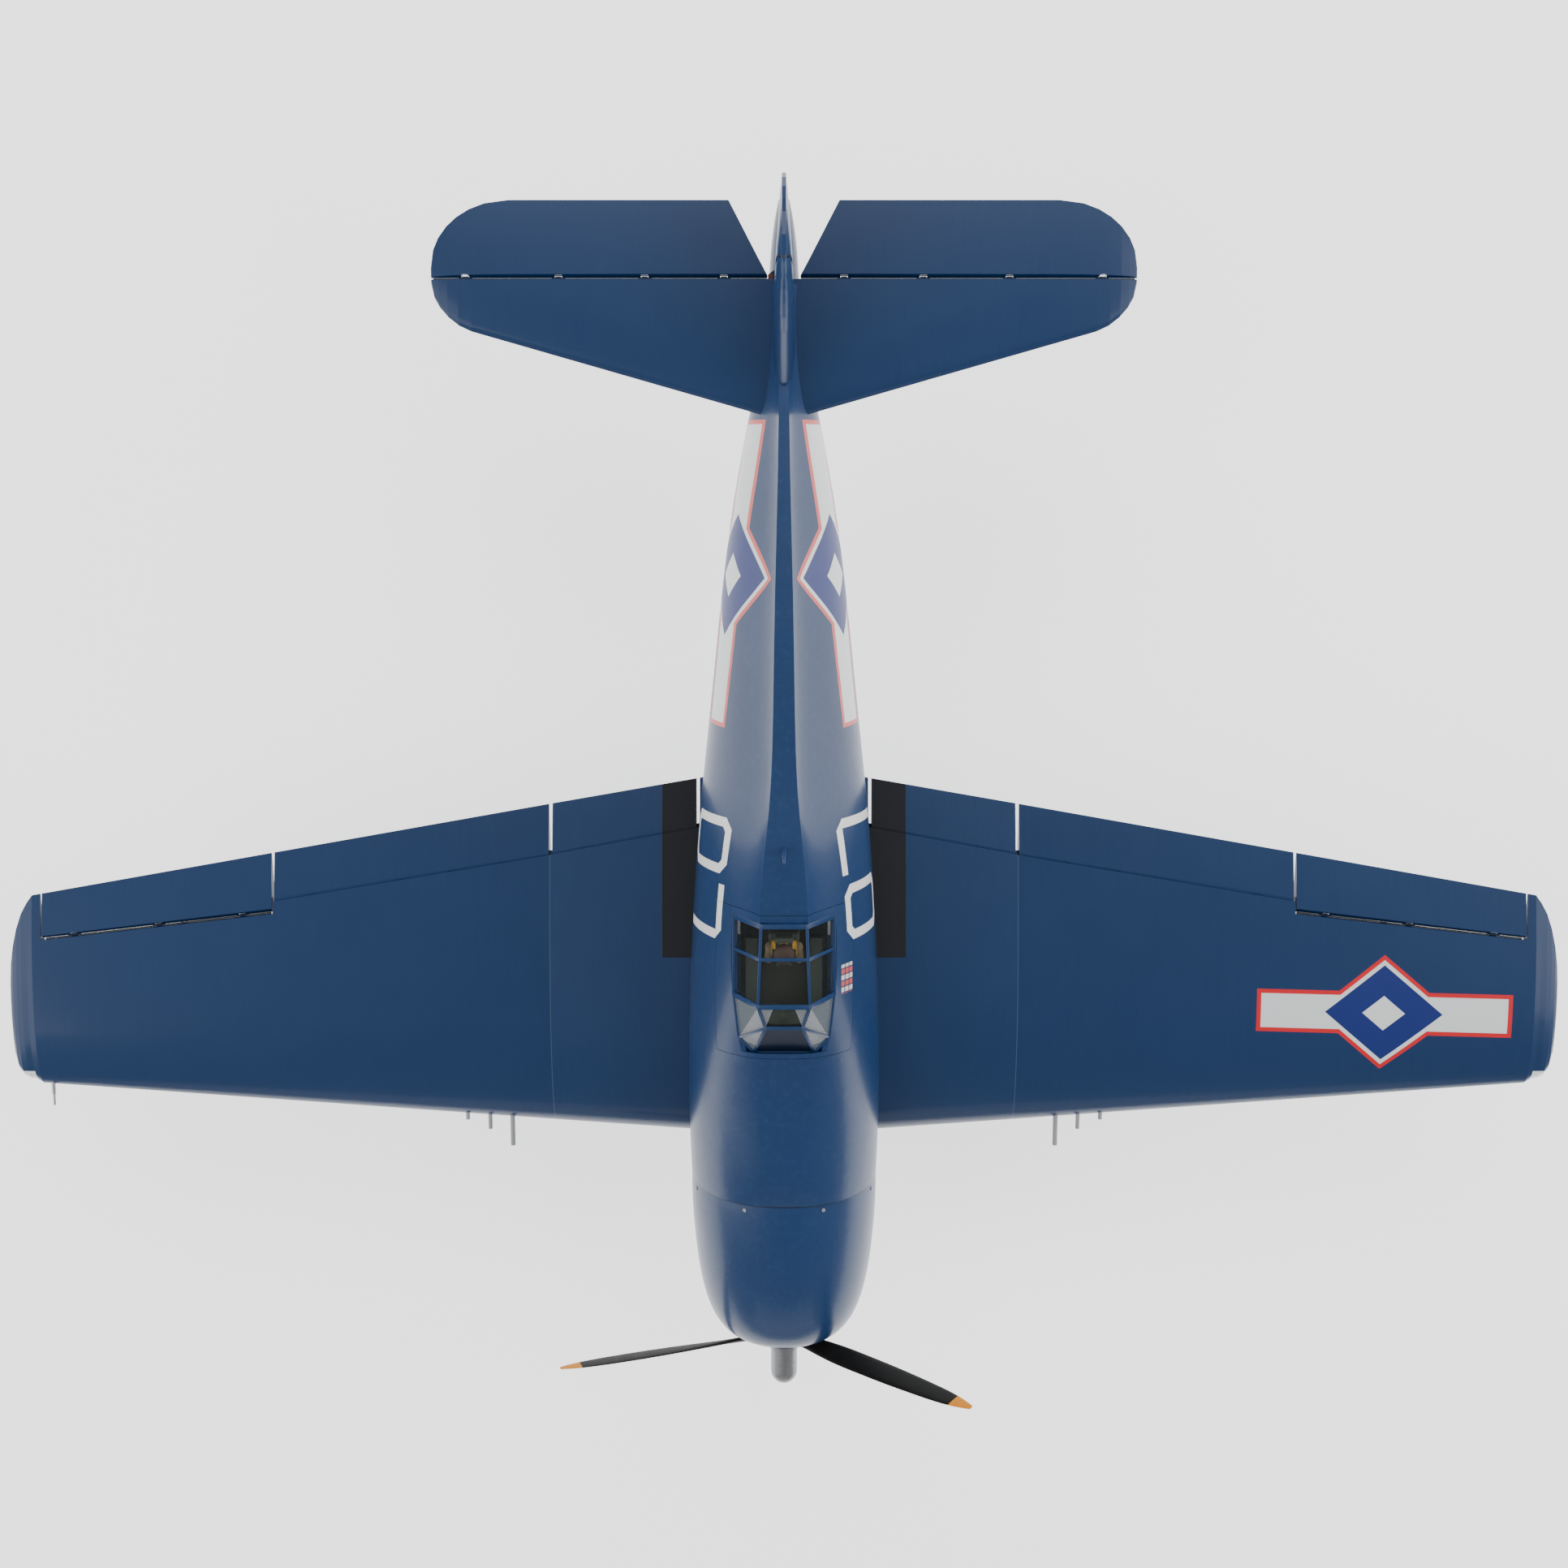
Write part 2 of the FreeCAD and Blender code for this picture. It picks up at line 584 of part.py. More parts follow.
def gun_barrels():
    """Three staggered barrels in the leading edge of each wing, and the holes they sit in."""
    barrels, holes = [], []
    for x, reach, radius in ((299.5, 33.0, 2.6), (323.5, 16.0, 2.2), (347.5, 7.0, 2.2)):
        front, _, height = wing_line(x)
        start = Vector(x, front + 24, height + 1)
        end = Vector(x, front - reach, height + 1)
        holes.append(rod(start, end, radius))
        barrels.append(holes[-1].cut(rod(end + Y_AXIS * 6, end - Y_AXIS, radius * 0.6)))
    return group(barrels), group(holes)


def tip_light():
    """Clear lens in the notched corner of the wing tip."""
    front, _, height = wing_line(TIP_RIB_X + 14)
    return box(TIP_RIB_X + 5, SPAN_HALF, front - 8, front + 13, height - 12, height + 16)


def build_wing(outer_body):
    """Left wing: panels, flaps, aileron and their hinges."""
    inner_panel = Part.makeLoft([wing_section(50), wing_section(FOLD_X)], True, True).cut(outer_body)
    main = Part.makeLoft([wing_section(FOLD_X), wing_section(TIP_RIB_X)], True, True)
    outer_panel = fused([main, wing_tip()])

    hinge_a, thick_a = flap_hinge(FLAP_IN_X - 3.5, FOLD_X)
    inner_flap, inner_panel = split_flap(inner_panel, hinge_a, thick_a, (FLAP_IN_X - 3.5, FOLD_X + 1), 3.5)
    inner_flap = inner_flap.common(slab(0, FOLD_X - 1.3))
    hinge_b, thick_b = flap_hinge(FOLD_X, FLAP_OUT_X)
    outer_flap, outer_panel = split_flap(outer_panel, hinge_b, thick_b, (FOLD_X - 1, FLAP_OUT_X + 1.3), 1.3)
    outer_flap = outer_flap.common(slab(FOLD_X + 1.3, 900))
    hinge_c = aileron_hinge()
    aileron_span = (AILERON_IN_X - 1.6, AILERON_OUT_X + 1.6)
    aileron, outer_panel = split_centre_hinge(outer_panel, hinge_c, aileron_span, 1.6)

    inner_flap, inner_panel, k1 = hang(inner_flap, inner_panel, hinge_a, (0.12, 0.5, 0.88))
    outer_flap, outer_panel, k2 = hang(outer_flap, outer_panel, hinge_b, (0.1, 0.5, 0.9))
    aileron, outer_panel, k3 = hang(aileron, outer_panel, hinge_c, (0.14, 0.5, 0.86))
    aileron = fused([aileron, aileron_horn()])

    pocket, plate, _ = aileron_servo_bay()
    outer_panel = outer_panel.cut(pocket).cut(plate)
    guns, gun_holes = gun_barrels()
    spar = tube(Vector(0, SPAR_Y, WING_Z + 4), Vector(SPAR_END_X, SPAR_Y, WING_Z + 4), SPAR_R, SPAR_R - 1.5)
    spar_hole = rod(Vector(0, SPAR_Y, WING_Z + 4), Vector(SPAR_END_X + 1, SPAR_Y, WING_Z + 4), SPAR_R + 0.1)
    dowel = rod(Vector(78, DOWEL_Y, WING_Z + 3), Vector(118, DOWEL_Y, WING_Z + 3), DOWEL_R)
    inner_panel = inner_panel.cut(wheel_bay()).cut(spar_hole).cut(dowel)
    light = outer_panel.common(tip_light())
    outer_panel = outer_panel.cut(gun_holes).cut(tip_light())
    return {"inner_panel": inner_panel, "outer_panel": outer_panel, "inner_flap": inner_flap,
            "outer_flap": outer_flap, "aileron": aileron, "knuckles": k1 + k2 + k3, "guns": guns,
            "light": light, "spar": spar, "dowel": dowel}


# ---------------------------------------------------------------- tail assembly
def rounded_end(share):
    return 1 - math.sqrt(max(1 - share * share, 0.0))


def tail_section(x):
    """Stabiliser and elevator section; both edges curve in towards the tip."""
    front_from, back_from = 300.0, 262.0
    front = 403.9 + 0.2816 * x
    back = TAIL_TE_Y
    if x > front_from:
        front += (TAIL_HINGE_Y - front) * rounded_end((x - front_from) / (TAIL_HALF - front_from)) * 0.86
    if x > back_from:
        back -= (TAIL_TE_Y - TAIL_HINGE_Y) * rounded_end((x - back_from) / (TAIL_HALF - back_from)) * 0.86
    chord = back - front
    thick = blend(17.0, 10.0, x / TAIL_HALF) * math.sqrt(max(1.0 - (x / (TAIL_HALF + 1)) ** 14, 0.02))

    def place(u, t):
        return Vector(x, front + u * chord, TAIL_Z + t * chord)

    return section_wire(place, chord, thick / chord, 0.0)


def build_stabiliser(outer_body):
    stations = (8.0, 120.0, 262.0, 285.0, 300.0, 312.0, 322.0, 330.0, 335.0, TAIL_HALF)
    whole = Part.makeLoft([tail_section(x) for x in stations], True, True)
    hinge = Hinge(Vector(8, TAIL_HINGE_Y, TAIL_Z), Vector(TAIL_HALF, TAIL_HINGE_Y, TAIL_Z), Z_AXIS)
    elevator, stabiliser = split_centre_hinge(whole, hinge, (0.0, TAIL_HALF + 5), 0.0)
    outline = (-5, 508), (15.8, 508), (15.8, 540), (24.5, 556), (58, 620), (-5, 620)
    rudder_room = prism([Vector(x, y, TAIL_Z - 40) for x, y in outline], Vector(0, 0, 80))
    elevator = elevator.cut(rudder_room)
    stabiliser = stabiliser.cut(outer_body)
    elevator, stabiliser, knuckles = hang(elevator, stabiliser, hinge, (0.15, 0.38, 0.63, 0.90))
    return stabiliser, elevator, knuckles


def fin_section(z):
    """Fin and rudder section at height z."""
    rise = z - THRUST_Z
    front = 424.0 + 0.62 * (rise - 84.0)
    back = RUDDER_TE_Y - 14.0 * ((rise - 112.0) / 80.0) ** 2
    top_from = 168.0
    share = (rise - top_from) / (212.0 - top_from)
    if share > 0:
        front += (RUDDER_HINGE_Y - front) * rounded_end(share) * 0.8
        back -= (back - RUDDER_HINGE_Y) * rounded_end(share) * 0.72
    chord = back - front
    thick = blend(23.0, 11.0, (rise - 58.0) / 154.0) * math.sqrt(max(1 - max(share, 0) ** 3, 0.03))

    def place(u, t):
        return Vector(t * chord, front + u * chord, z)

    return section_wire(place, chord, thick / chord, 0.0, 1.6)


def build_fin(outer_body):
    heights = [THRUST_Z + h for h in (58.0, 84.0, 112.0, 140.0, 168.0, 182.0, 193.0, 202.0, 208.0, 212.0)]
    whole = Part.makeLoft([fin_section(z) for z in heights], True, True)
    hinge = Hinge(Vector(0, RUDDER_HINGE_Y, RUDDER_FOOT_Z), Vector(0, RUDDER_HINGE_Y, FIN_TOP_Z), X_AXIS)
    rudder = whole.common(hinge.moving_part())
    fin = whole.cut(hinge.open_part()).cut(outer_body)
    rudder, fin, knuckles = hang(rudder, fin, hinge, (0.30, 0.58, 0.86))
    low, x = RUDDER_ROD_Z - 0.8, -RUDDER_ARM
    horn = prism([Vector(-3, 541, low), Vector(-3, 552, low), Vector(x - 2.5, 543, low),
                  Vector(x - 2.5, 537.5, low)], Vector(0, 0, 1.6))
    horn = horn.cut(rod(Vector(x, RUDDER_PIN_Y, low - 3), Vector(x, RUDDER_PIN_Y, low + 5), 0.8))
    horn_room = box(x - 8, x + 6, 526, 538, low - 4, low + 2.4)
    return fin.cut(horn_room), fused([rudder, horn]), knuckles


def rudder_rod():
    """Push rod from inside the fuselage to the rudder horn, with an open clevis."""
    x, y, z = -RUDDER_ARM, RUDDER_PIN_Y, RUDDER_ROD_Z
    prongs = [box(x - 2, x + 2, y - 12, y + 3, z + s * 1.7 - 0.5, z + s * 1.7 + 0.5) for s in (-1, 1)]
    root = box(x - 2, x + 2, y - 15, y - 9, z - 2.2, z + 2.2)
    return fused(prongs + [root, rod(Vector(x, y - 14, z), Vector(x, y - 62, z), 1.0)])


# ---------------------------------------------------------------- propeller and power unit
def blade_section(r):
    """Airfoil-like blade section: broad in the middle, twisted most at the root."""
    share = r / PROP_R
    shape = (0.14, 15.0), (0.3, 24.0), (0.5, 28.5), (0.7, 27.5), (0.86, 22.0), (0.95, 15.0), (1.0, 6.0)
    chord = shape[0][1]
    for (s1, c1), (s2, c2) in zip(shape, shape[1:]):
        if s1 <= share <= s2:
            chord = blend(c1, c2, (share - s1) / (s2 - s1))
    pitch = math.atan2(190.0, 2 * math.pi * r)
    thick = blend(6.5, 1.5, min(share, 1.0) ** 0.8)
    count = 12
    points = []
    for i in range(count):
        turn = 2 * math.pi * i / count
        across, through = 0.5 * chord * math.cos(turn), 0.5 * thick * math.sin(turn)
        points.append(Vector(r, -across * math.sin(pitch) + through * math.cos(pitch),
                             across * math.cos(pitch) + through * math.sin(pitch)))
    curve = Part.BSplineCurve()
    curve.interpolate(points, PeriodicFlag=True)
    return Part.Wire(curve.toShape())


def propeller_blades():
    radii = [PROP_R * s for s in (0.10, 0.16, 0.3, 0.45, 0.6, 0.75, 0.86, 0.93, 0.975, 1.0)]
    blade = Part.makeLoft([blade_section(r) for r in radii], True, False)
    shank = rod(Vector(16, 0, 0), Vector(PROP_R * 0.13, 0, 0), 6.0)
    blade = fused([blade, shank]).cut(rod(Vector(0, -40, 0), Vector(0, 40, 0), 17.0))
    blades = []
    for angle in BLADE_ANGLES:
        turned = blade.copy()
        turned.rotate(ORIGIN, Y_AXIS, -angle)
        turned.translate(Vector(0, BLADE_Y, THRUST_Z))
        blades.append(turned)
    return group(blades)


def on_shaft(y):
    return Vector(0, y, THRUST_Z)


def propeller_hub(blades):
    barrel = rod(on_shaft(BLADE_Y - 11), on_shaft(BLADE_Y + 11), 17.0)
    plate = rod(on_shaft(BLADE_Y + 11), on_shaft(BLADE_Y + 15), 12.0)
    cuffs = []
    for angle in BLADE_ANGLES:
        out = Vector(math.cos(math.radians(angle)), 0, math.sin(math.radians(angle)))
        cuffs.append(rod(on_shaft(BLADE_Y) + out * 8, on_shaft(BLADE_Y) + out * 24, 8.5))
    bore = rod(on_shaft(BLADE_Y - 20), on_shaft(BLADE_Y + 20), 3.02)
    return fused([barrel, plate] + cuffs).cut(bore).cut(blades)


def hub_dome():
    nose_centre = NOSE_Y + DOME_R
    base = BLADE_Y - 11.0
    body = rod(on_shaft(base), on_shaft(nose_centre), DOME_R)
    cap = Part.makeSphere(DOME_R, on_shaft(nose_centre))
    collar = rod(on_shaft(base), on_shaft(base - 4), DOME_R + 1.6)
    thread = rod(on_shaft(base + 1), on_shaft(base - 12), 3.02)
    return fused([body, cap, collar]).cut(thread)


def motor_rotor():
    """Outrunner bell with its shaft, which carries the propeller."""
    bell = tube(on_shaft(-496), on_shaft(-528), 22.0, 19.6)
    face = tube(on_shaft(-528), on_shaft(-532), 22.0, 3.0)
    shaft = rod(on_shaft(-480), on_shaft(BLADE_Y - 20), 3.0)
    vents = [rod(on_shaft(-535) + out * 14, on_shaft(-525) + out * 14, 3.2)
             for out in (Vector(math.cos(a * math.pi / 3), 0, math.sin(a * math.pi / 3)) for a in range(6))]
    return fused([bell, face.cut(group(vents)), shaft])


def motor_stator():
    base = tube(on_shaft(-470), on_shaft(-476), 20.0, 6.0)
    bearing = tube(on_shaft(-476), on_shaft(-524), 7.0, 3.05)
    core = tube(on_shaft(-500), on_shaft(-522), 18.8, 6.5)
    outward = [Vector(math.cos(a * math.pi / 6), 0, math.sin(a * math.pi / 6)) for a in range(12)]
    slots = [rod(on_shaft(-499) + out * 17.5, on_shaft(-523) + out * 17.5, 2.2) for out in outward]
    return fused([base, bearing, core.cut(group(slots))])


def motor_box():
    """Plywood firewall and the box that carries the motor."""
    outline = frame_wire((-374.0,) + FUSELAGE_FRAMES[0][1:], SKIN + 0.2)
    firewall = Part.Face(outline).extrude(Vector(0, 5, 0))
    side = 27.0
    walls = box(-side, side, -466, -374, THRUST_Z - side, THRUST_Z + side)
    walls = walls.cut(box(-side + 3, side - 3, -480, -360, THRUST_Z - side + 3, THRUST_Z + side - 3))
    front = box(-side, side, -470, -466, THRUST_Z - side, THRUST_Z + side)
    window = rod(on_shaft(-480), on_shaft(-460), 5.0)
    cable_hole = box(-20, 20, -380, -360, THRUST_Z - 20, THRUST_Z + 20)
    return fused([firewall.cut(cable_hole), walls, front.cut(window)])


def lathed(profile):
    """Turns a closed (radius, station) outline about the propeller shaft."""
    points = [Vector(r, y, THRUST_Z) for r, y in profile]
    return Part.Face(Part.makePolygon(points + points[:1])).revolve(on_shaft(0), Y_AXIS, 360)


def dummy_engine():
    """Static scale radial: nine finned cylinders, push-rod tubes and the reduction-gear nose."""
    ring_y = -516.0
    case = lathed([(23.5, -502), (30, -502), (30, -532), (26, -537), (19, -545), (13.5, -547.5),
                   (13.5, -543), (17, -541), (23.5, -533.5)])
    standoffs = [rod(Vector(x, -503, THRUST_Z + z), Vector(x, -470.1, THRUST_Z + z), 2.4)
                 for x in (-18.9, 18.9) for z in (-18.9, 18.9)]
    pieces = [case] + standoffs
    for i in range(9):
        angle = math.radians(90 + 40 * i)
        out = Vector(math.cos(angle), 0, math.sin(angle))
        across = Vector(-math.sin(angle), 0, math.cos(angle))
        base = on_shaft(ring_y)
        cylinder = [rod(base + out * 28, base + out * 66, 8.2)]
        cylinder += [rod(base + out * (36 + 3.7 * k), base + out * (37.6 + 3.7 * k), 10.2)
                     for k in range(8)]
        for sign in (-1, 1):
            foot = base + Y_AXIS * -11.3 + out * 29 + across * (3.2 * sign)
            cylinder.append(rod(foot, base + Y_AXIS * -11.0 + out * 64 + across * (6.1 * sign), 1.4))
        cylinder.append(box(-7.4, 7.4, -12.6, 7.0, 62.7, 67.9))
        cylinder[-1].rotate(ORIGIN, Y_AXIS, 90 - math.degrees(angle))
        cylinder[-1].translate(base)
        pieces.append(fused(cylinder))
    return fused(pieces)


# ---------------------------------------------------------------- equipment inside the fuselage
def bulkhead(y, inner, window):
    """Plywood frame that follows the inside of the shell, with a lightening hole."""
    plate = inner.common(box(-130, 130, y - 1.5, y + 1.5, 0, THRUST_Z + 200))
    middle = plate.BoundBox.Center
    return plate.cut(rod(middle - Y_AXIS * 5, middle + Y_AXIS * 5, window))


def plywood_frames(inner):
    """Battery tray on its legs, servo rails, bulkheads and the tail wheel bearing block."""
    tray = box(-34, 34, -366, -90, TRAY_Z - 4, TRAY_Z)
    rails = [box(s * 32 - 2, s * 32 + 2, -366, -90, TRAY_Z, TRAY_Z + 8) for s in (-1, 1)]
    legs = [box(s * 26 - 3, s * 26 + 3, y, y + 5, 0, TRAY_Z - 4).common(inner)
            for s in (-1, 1) for y in (-340, -170, -100)]
    servo_rails = [box(-130, 130, y - 4, y + 4, TRAY_Z + 16, TRAY_Z + 20).common(inner) for y in (-62, -18)]
    bearing = box(-60, 60, TAILWHEEL_Y - 9, TAILWHEEL_Y + 9, THRUST_Z, THRUST_Z + 16).common(inner)
    post_bore = rod(Vector(0, TAILWHEEL_Y, 0), Vector(0, TAILWHEEL_Y, 500), TAILWHEEL_POST_R + 0.05)
    bearing = bearing.cut(post_bore)
    frames = [bulkhead(90, inner, 42), bulkhead(250, inner, 30), bulkhead(395, inner, 14)]
    return group([fused([tray] + rails + legs)] + servo_rails + [bearing] + frames)


def battery():
    return rounded_box(-22, 22, -322, -182, TRAY_Z + 0.3, TRAY_Z + 40, 4.0)


def battery_straps():
    straps = [box(-24.5, 24.5, y, y + 20, TRAY_Z + 0.1, TRAY_Z + 42) for y in (-300, -225)]
    return group(straps).cut(box(-22.4, 22.4, -330, -170, TRAY_Z, TRAY_Z + 40.4))


def speed_controller():
    return rounded_box(-16, 16, -452, -392, THRUST_Z + 27.2, THRUST_Z + 41, 2.0)


def receiver():
    return rounded_box(-14, 14, -150, -108, TRAY_Z + 0.2, TRAY_Z + 15, 1.5)


def tail_servos():
    """Rudder and elevator servos, hung by their ears on the two rails."""
    servos = []
    for x in (-24, 4):
        case = box(x, x + 20, -57.5, -22.5, TRAY_Z - 2, TRAY_Z + 34)
        ears = box(x, x + 20, -64, -16, TRAY_Z + 20.1, TRAY_Z + 23)
        arm = rod(Vector(x + 10, -50, TRAY_Z + 34), Vector(x + 10, -50, TRAY_Z + 38), 9.0)
        servos.append(fused([case, ears, arm]))
    return group(servos)


def cockpit_interior():
    """Seat, instrument panel and side consoles, standing on the hatch floor."""
    floor = SILL_Z + EPS + 3.0
    seat = fused([rounded_box(-15, 15, -118, -94, floor, floor + 7, 2.0),
                  rounded_box(-15, 15, -96, -88, floor, floor + 40, 2.0)])
    headrest = rounded_box(-9, 9, -95, -89, floor + 38, floor + 56, 2.0)
    panel = box(-27, 27, -172, -169, floor, floor + 30)
    shroud = rod(Vector(0, -182, floor + 3), Vector(0, -169, floor + 3), 29.0)
    shroud = shroud.common(box(-40, 40, -190, -160, floor + 24, floor + 40)).cut(
        rod(Vector(0, -190, floor + 3), Vector(0, -150, floor + 3), 27.0))
    consoles = [box(s * 32 - 6, s * 32 + 6, -166, -100, floor, floor + 12) for s in (-1, 1)]
    sight = fused([rod(Vector(0, -171, floor + 29), Vector(0, -171, floor + 37), 2.2),
                   box(-4, 4, -174, -168, floor + 36, floor + 39)])
    return group([fused([seat, headrest]), fused([panel, shroud, sight])] + consoles)


def pilot_figure():
    """Simple seated half figure: torso, arms and a helmeted head."""
    floor = SILL_Z + EPS + 3.0
    torso = rounded_box(-13, 13, -112, -97.5, floor + 7.5, floor + 33, 5.5)
    arms = [rod(Vector(s * 14, -106, floor + 27), Vector(s * 15, -120, floor + 14), 4.4) for s in (-1, 1)]
    hands = [Part.makeSphere(5.2, Vector(s * 15, -120, floor + 14)) for s in (-1, 1)]
    shoulders = [Part.makeSphere(6.3, Vector(s * 12.5, -105.5, floor + 26)) for s in (-1, 1)]
    neck = rod(Vector(0, -106, floor + 30), Vector(0, -107, floor + 38), 5.0)
    head = Part.makeSphere(10.2, Vector(0, -108, floor + 45))
    return fused([torso, neck, head] + arms + hands + shoulders)


def antenna_mast(outer_body):
    foot = Vector(0, 0, THRUST_Z + 152.0)
    rake = Vector(0, -8, 46)
    return Part.makeCone(3.0, 1.1, rake.Length, foot, rake).cut(outer_body)


def pitot_tube():
    """Airspeed probe on the right wing tip."""
    x = -776.5
    front, _, height = wing_line(-x)
    start = Vector(x, front + 14, height)
    holder = rod(start, Vector(x, front - 12, height), 2.1)
    return fused([holder, rod(start, Vector(x, front - 24, height), 1.3)])


# ---------------------------------------------------------------- landing gear (left side)
def gear_trunnion():
    """Swinging block with its pivot pin; the leg turns inside it."""
    block = rounded_box(GEAR_X - 13.5, GEAR_X + 13.5, GEAR_Y - 10, GEAR_Y + 10, GEAR_Z - 9, GEAR_Z + 9, 2.0)
    pins = rod(Vector(GEAR_X - 22, GEAR_Y, GEAR_Z), Vector(GEAR_X + 22, GEAR_Y, GEAR_Z), 3.0)
    leg_bore = rod(Vector(GEAR_X, GEAR_Y, GEAR_Z - 20), Vector(GEAR_X, GEAR_Y, GEAR_Z + 6), 5.05)
    return fused([block, pins]).cut(leg_bore)


def gear_leg():
    """Oleo leg, scissor link, half fork and axle."""
    x, y, axle_z = GEAR_X, GEAR_Y, WHEEL_R
    crown_z = axle_z + WHEEL_R + 4
    spigot = rod(Vector(x, y, GEAR_Z + 5), Vector(x, y, GEAR_Z - 12), 5.0)
    cylinder = rod(Vector(x, y, GEAR_Z - 10), Vector(x, y, GEAR_Z - 88), 6.6)
    collar = rod(Vector(x, y, GEAR_Z - 84), Vector(x, y, GEAR_Z - 90), 7.8)
    piston = rod(Vector(x, y, GEAR_Z - 88), Vector(x, y, crown_z), 4.2)
    crown = rounded_box(x - 5, x + 17.5, y - 5.5, y + 5.5, crown_z - 2, crown_z + 5, 1.8)
    fork = rounded_box(x + 12.5, x + 17.5, y - 5.5, y + 5.5, axle_z - 7, crown_z + 5, 1.8)
    axle = rod(Vector(x + 15, y, axle_z), Vector(x - 12.5, y, axle_z), 2.5)
    nut = rod(Vector(x - 11.5, y, axle_z), Vector(x - 14.5, y, axle_z), 4.0)
    links = [fused([rod(Vector(x - 2, y + 5, GEAR_Z - 86), Vector(x - 2, y + 15, GEAR_Z - 99), 1.8),
                    rod(Vector(x - 2, y + 15, GEAR_Z - 99), Vector(x - 2, y + 3, crown_z + 2), 1.8),
                    Part.makeSphere(2.6, Vector(x - 2, y + 15, GEAR_Z - 99))])]
    return fused([spigot, cylinder, collar, piston, crown, fork, axle, nut] + links)


def gear_fairing():
    """Leg door, clipped to the inboard side of the leg."""
    x, y = GEAR_X, GEAR_Y
    inner, outer = 12.2, 13.6
    height = 92.0
    plate = box(x - outer, x - inner, y - 15, y + 15, GEAR_Z - 20 - height, GEAR_Z - 20)
    clips = [box(x - inner - 0.2, x - 6.0, y - 3.5, y + 3.5, GEAR_Z - h - 6, GEAR_Z - h) for h in (30, 72)]
    leg = rod(Vector(x, y, GEAR_Z), Vector(x, y, GEAR_Z - 140), 6.62)
    return fused([plate] + clips).cut(leg)


def revolved(profile, centre):
    """Turns a closed (radius, width) outline about the X axis through centre."""
    points = [Vector(w, 0, r) for r, w in profile]
    face = Part.Face(Part.makePolygon(points + points[:1]))
    solid = face.revolve(ORIGIN, X_AXIS, 360)
    solid.translate(centre)
    return solid


def wheel_hub():
    centre = Vector(GEAR_X, GEAR_Y, WHEEL_R)
    rim, wide = 25.0, WHEEL_W / 2
    half_outline = [(2.6, wide), (8, wide), (8, 4), (20, 4), (22, 8), (rim + 2.4, 8), (rim + 2.4, 6.6), (rim, 6.0)]
    disc = revolved([(r, -x) for r, x in half_outline] + half_outline[::-1], centre)
    for i in range(8):
        a = math.radians(45 * i)
        middle = centre + Vector(0, math.cos(a) * 14.2, math.sin(a) * 14.2)
        disc = disc.cut(rod(middle - X_AXIS * 8, middle + X_AXIS * 8, 3.4))
    return disc


def tyre(centre, radius, wide, rim, groove):
    """Round-shouldered tyre with a grooved tread, seated on its rim."""
    half, shoulder = wide / 2, radius - wide * 0.32
    outline = [(rim + 0.05, half * 0.6), (rim + 2.5, half * 0.66), (rim + 2.5, half * 0.9),
               ((rim + shoulder) / 2 + 1, half), (shoulder, half * 0.97),
               (radius - wide * 0.12, half * 0.78), (radius - wide * 0.02, half * 0.45)]
    if groove:
        outline += [(radius, half * 0.3), (radius, half * 0.26), (radius - 1.0, half * 0.2)]
    else:
        outline += [(radius, half * 0.2)]
    return revolved(outline + [(r, -x) for r, x in outline[::-1]], centre)


def tailwheel_fork():
    """Steerable tail wheel leg with a two-sided fork and axle."""
    z, y = TAILWHEEL_AXLE_Z, TAILWHEEL_Y + TAILWHEEL_TRAIL
    top = THRUST_Z - 8.0
    post = rod(Vector(0, TAILWHEEL_Y, top + 26), Vector(0, TAILWHEEL_Y, top - 24), TAILWHEEL_POST_R)
    crown_z = z + TAILWHEEL_R + 3
    arm = rounded_box(-7.2, 7.2, TAILWHEEL_Y - 4.5, y + 4.5, crown_z, top - 20, 1.5)
    cheeks = [box(s * 6.2 - 1, s * 6.2 + 1, y - 4, y + 4, z - 4, crown_z + 2) for s in (-1, 1)]
    axle = rod(Vector(-7.5, y, z), Vector(7.5, y, z), 1.5)
    return fused([post, arm, axle] + cheeks)


def tailwheel():
    centre = Vector(0, TAILWHEEL_Y + TAILWHEEL_TRAIL, TAILWHEEL_AXLE_Z)
    hub = revolved([(1.6, -4.6), (9.0, -4.0), (9.0, 4.0), (1.6, 4.6)], centre)
    return group([hub, tyre(centre, TAILWHEEL_R, 9.0, 9.0, False)])


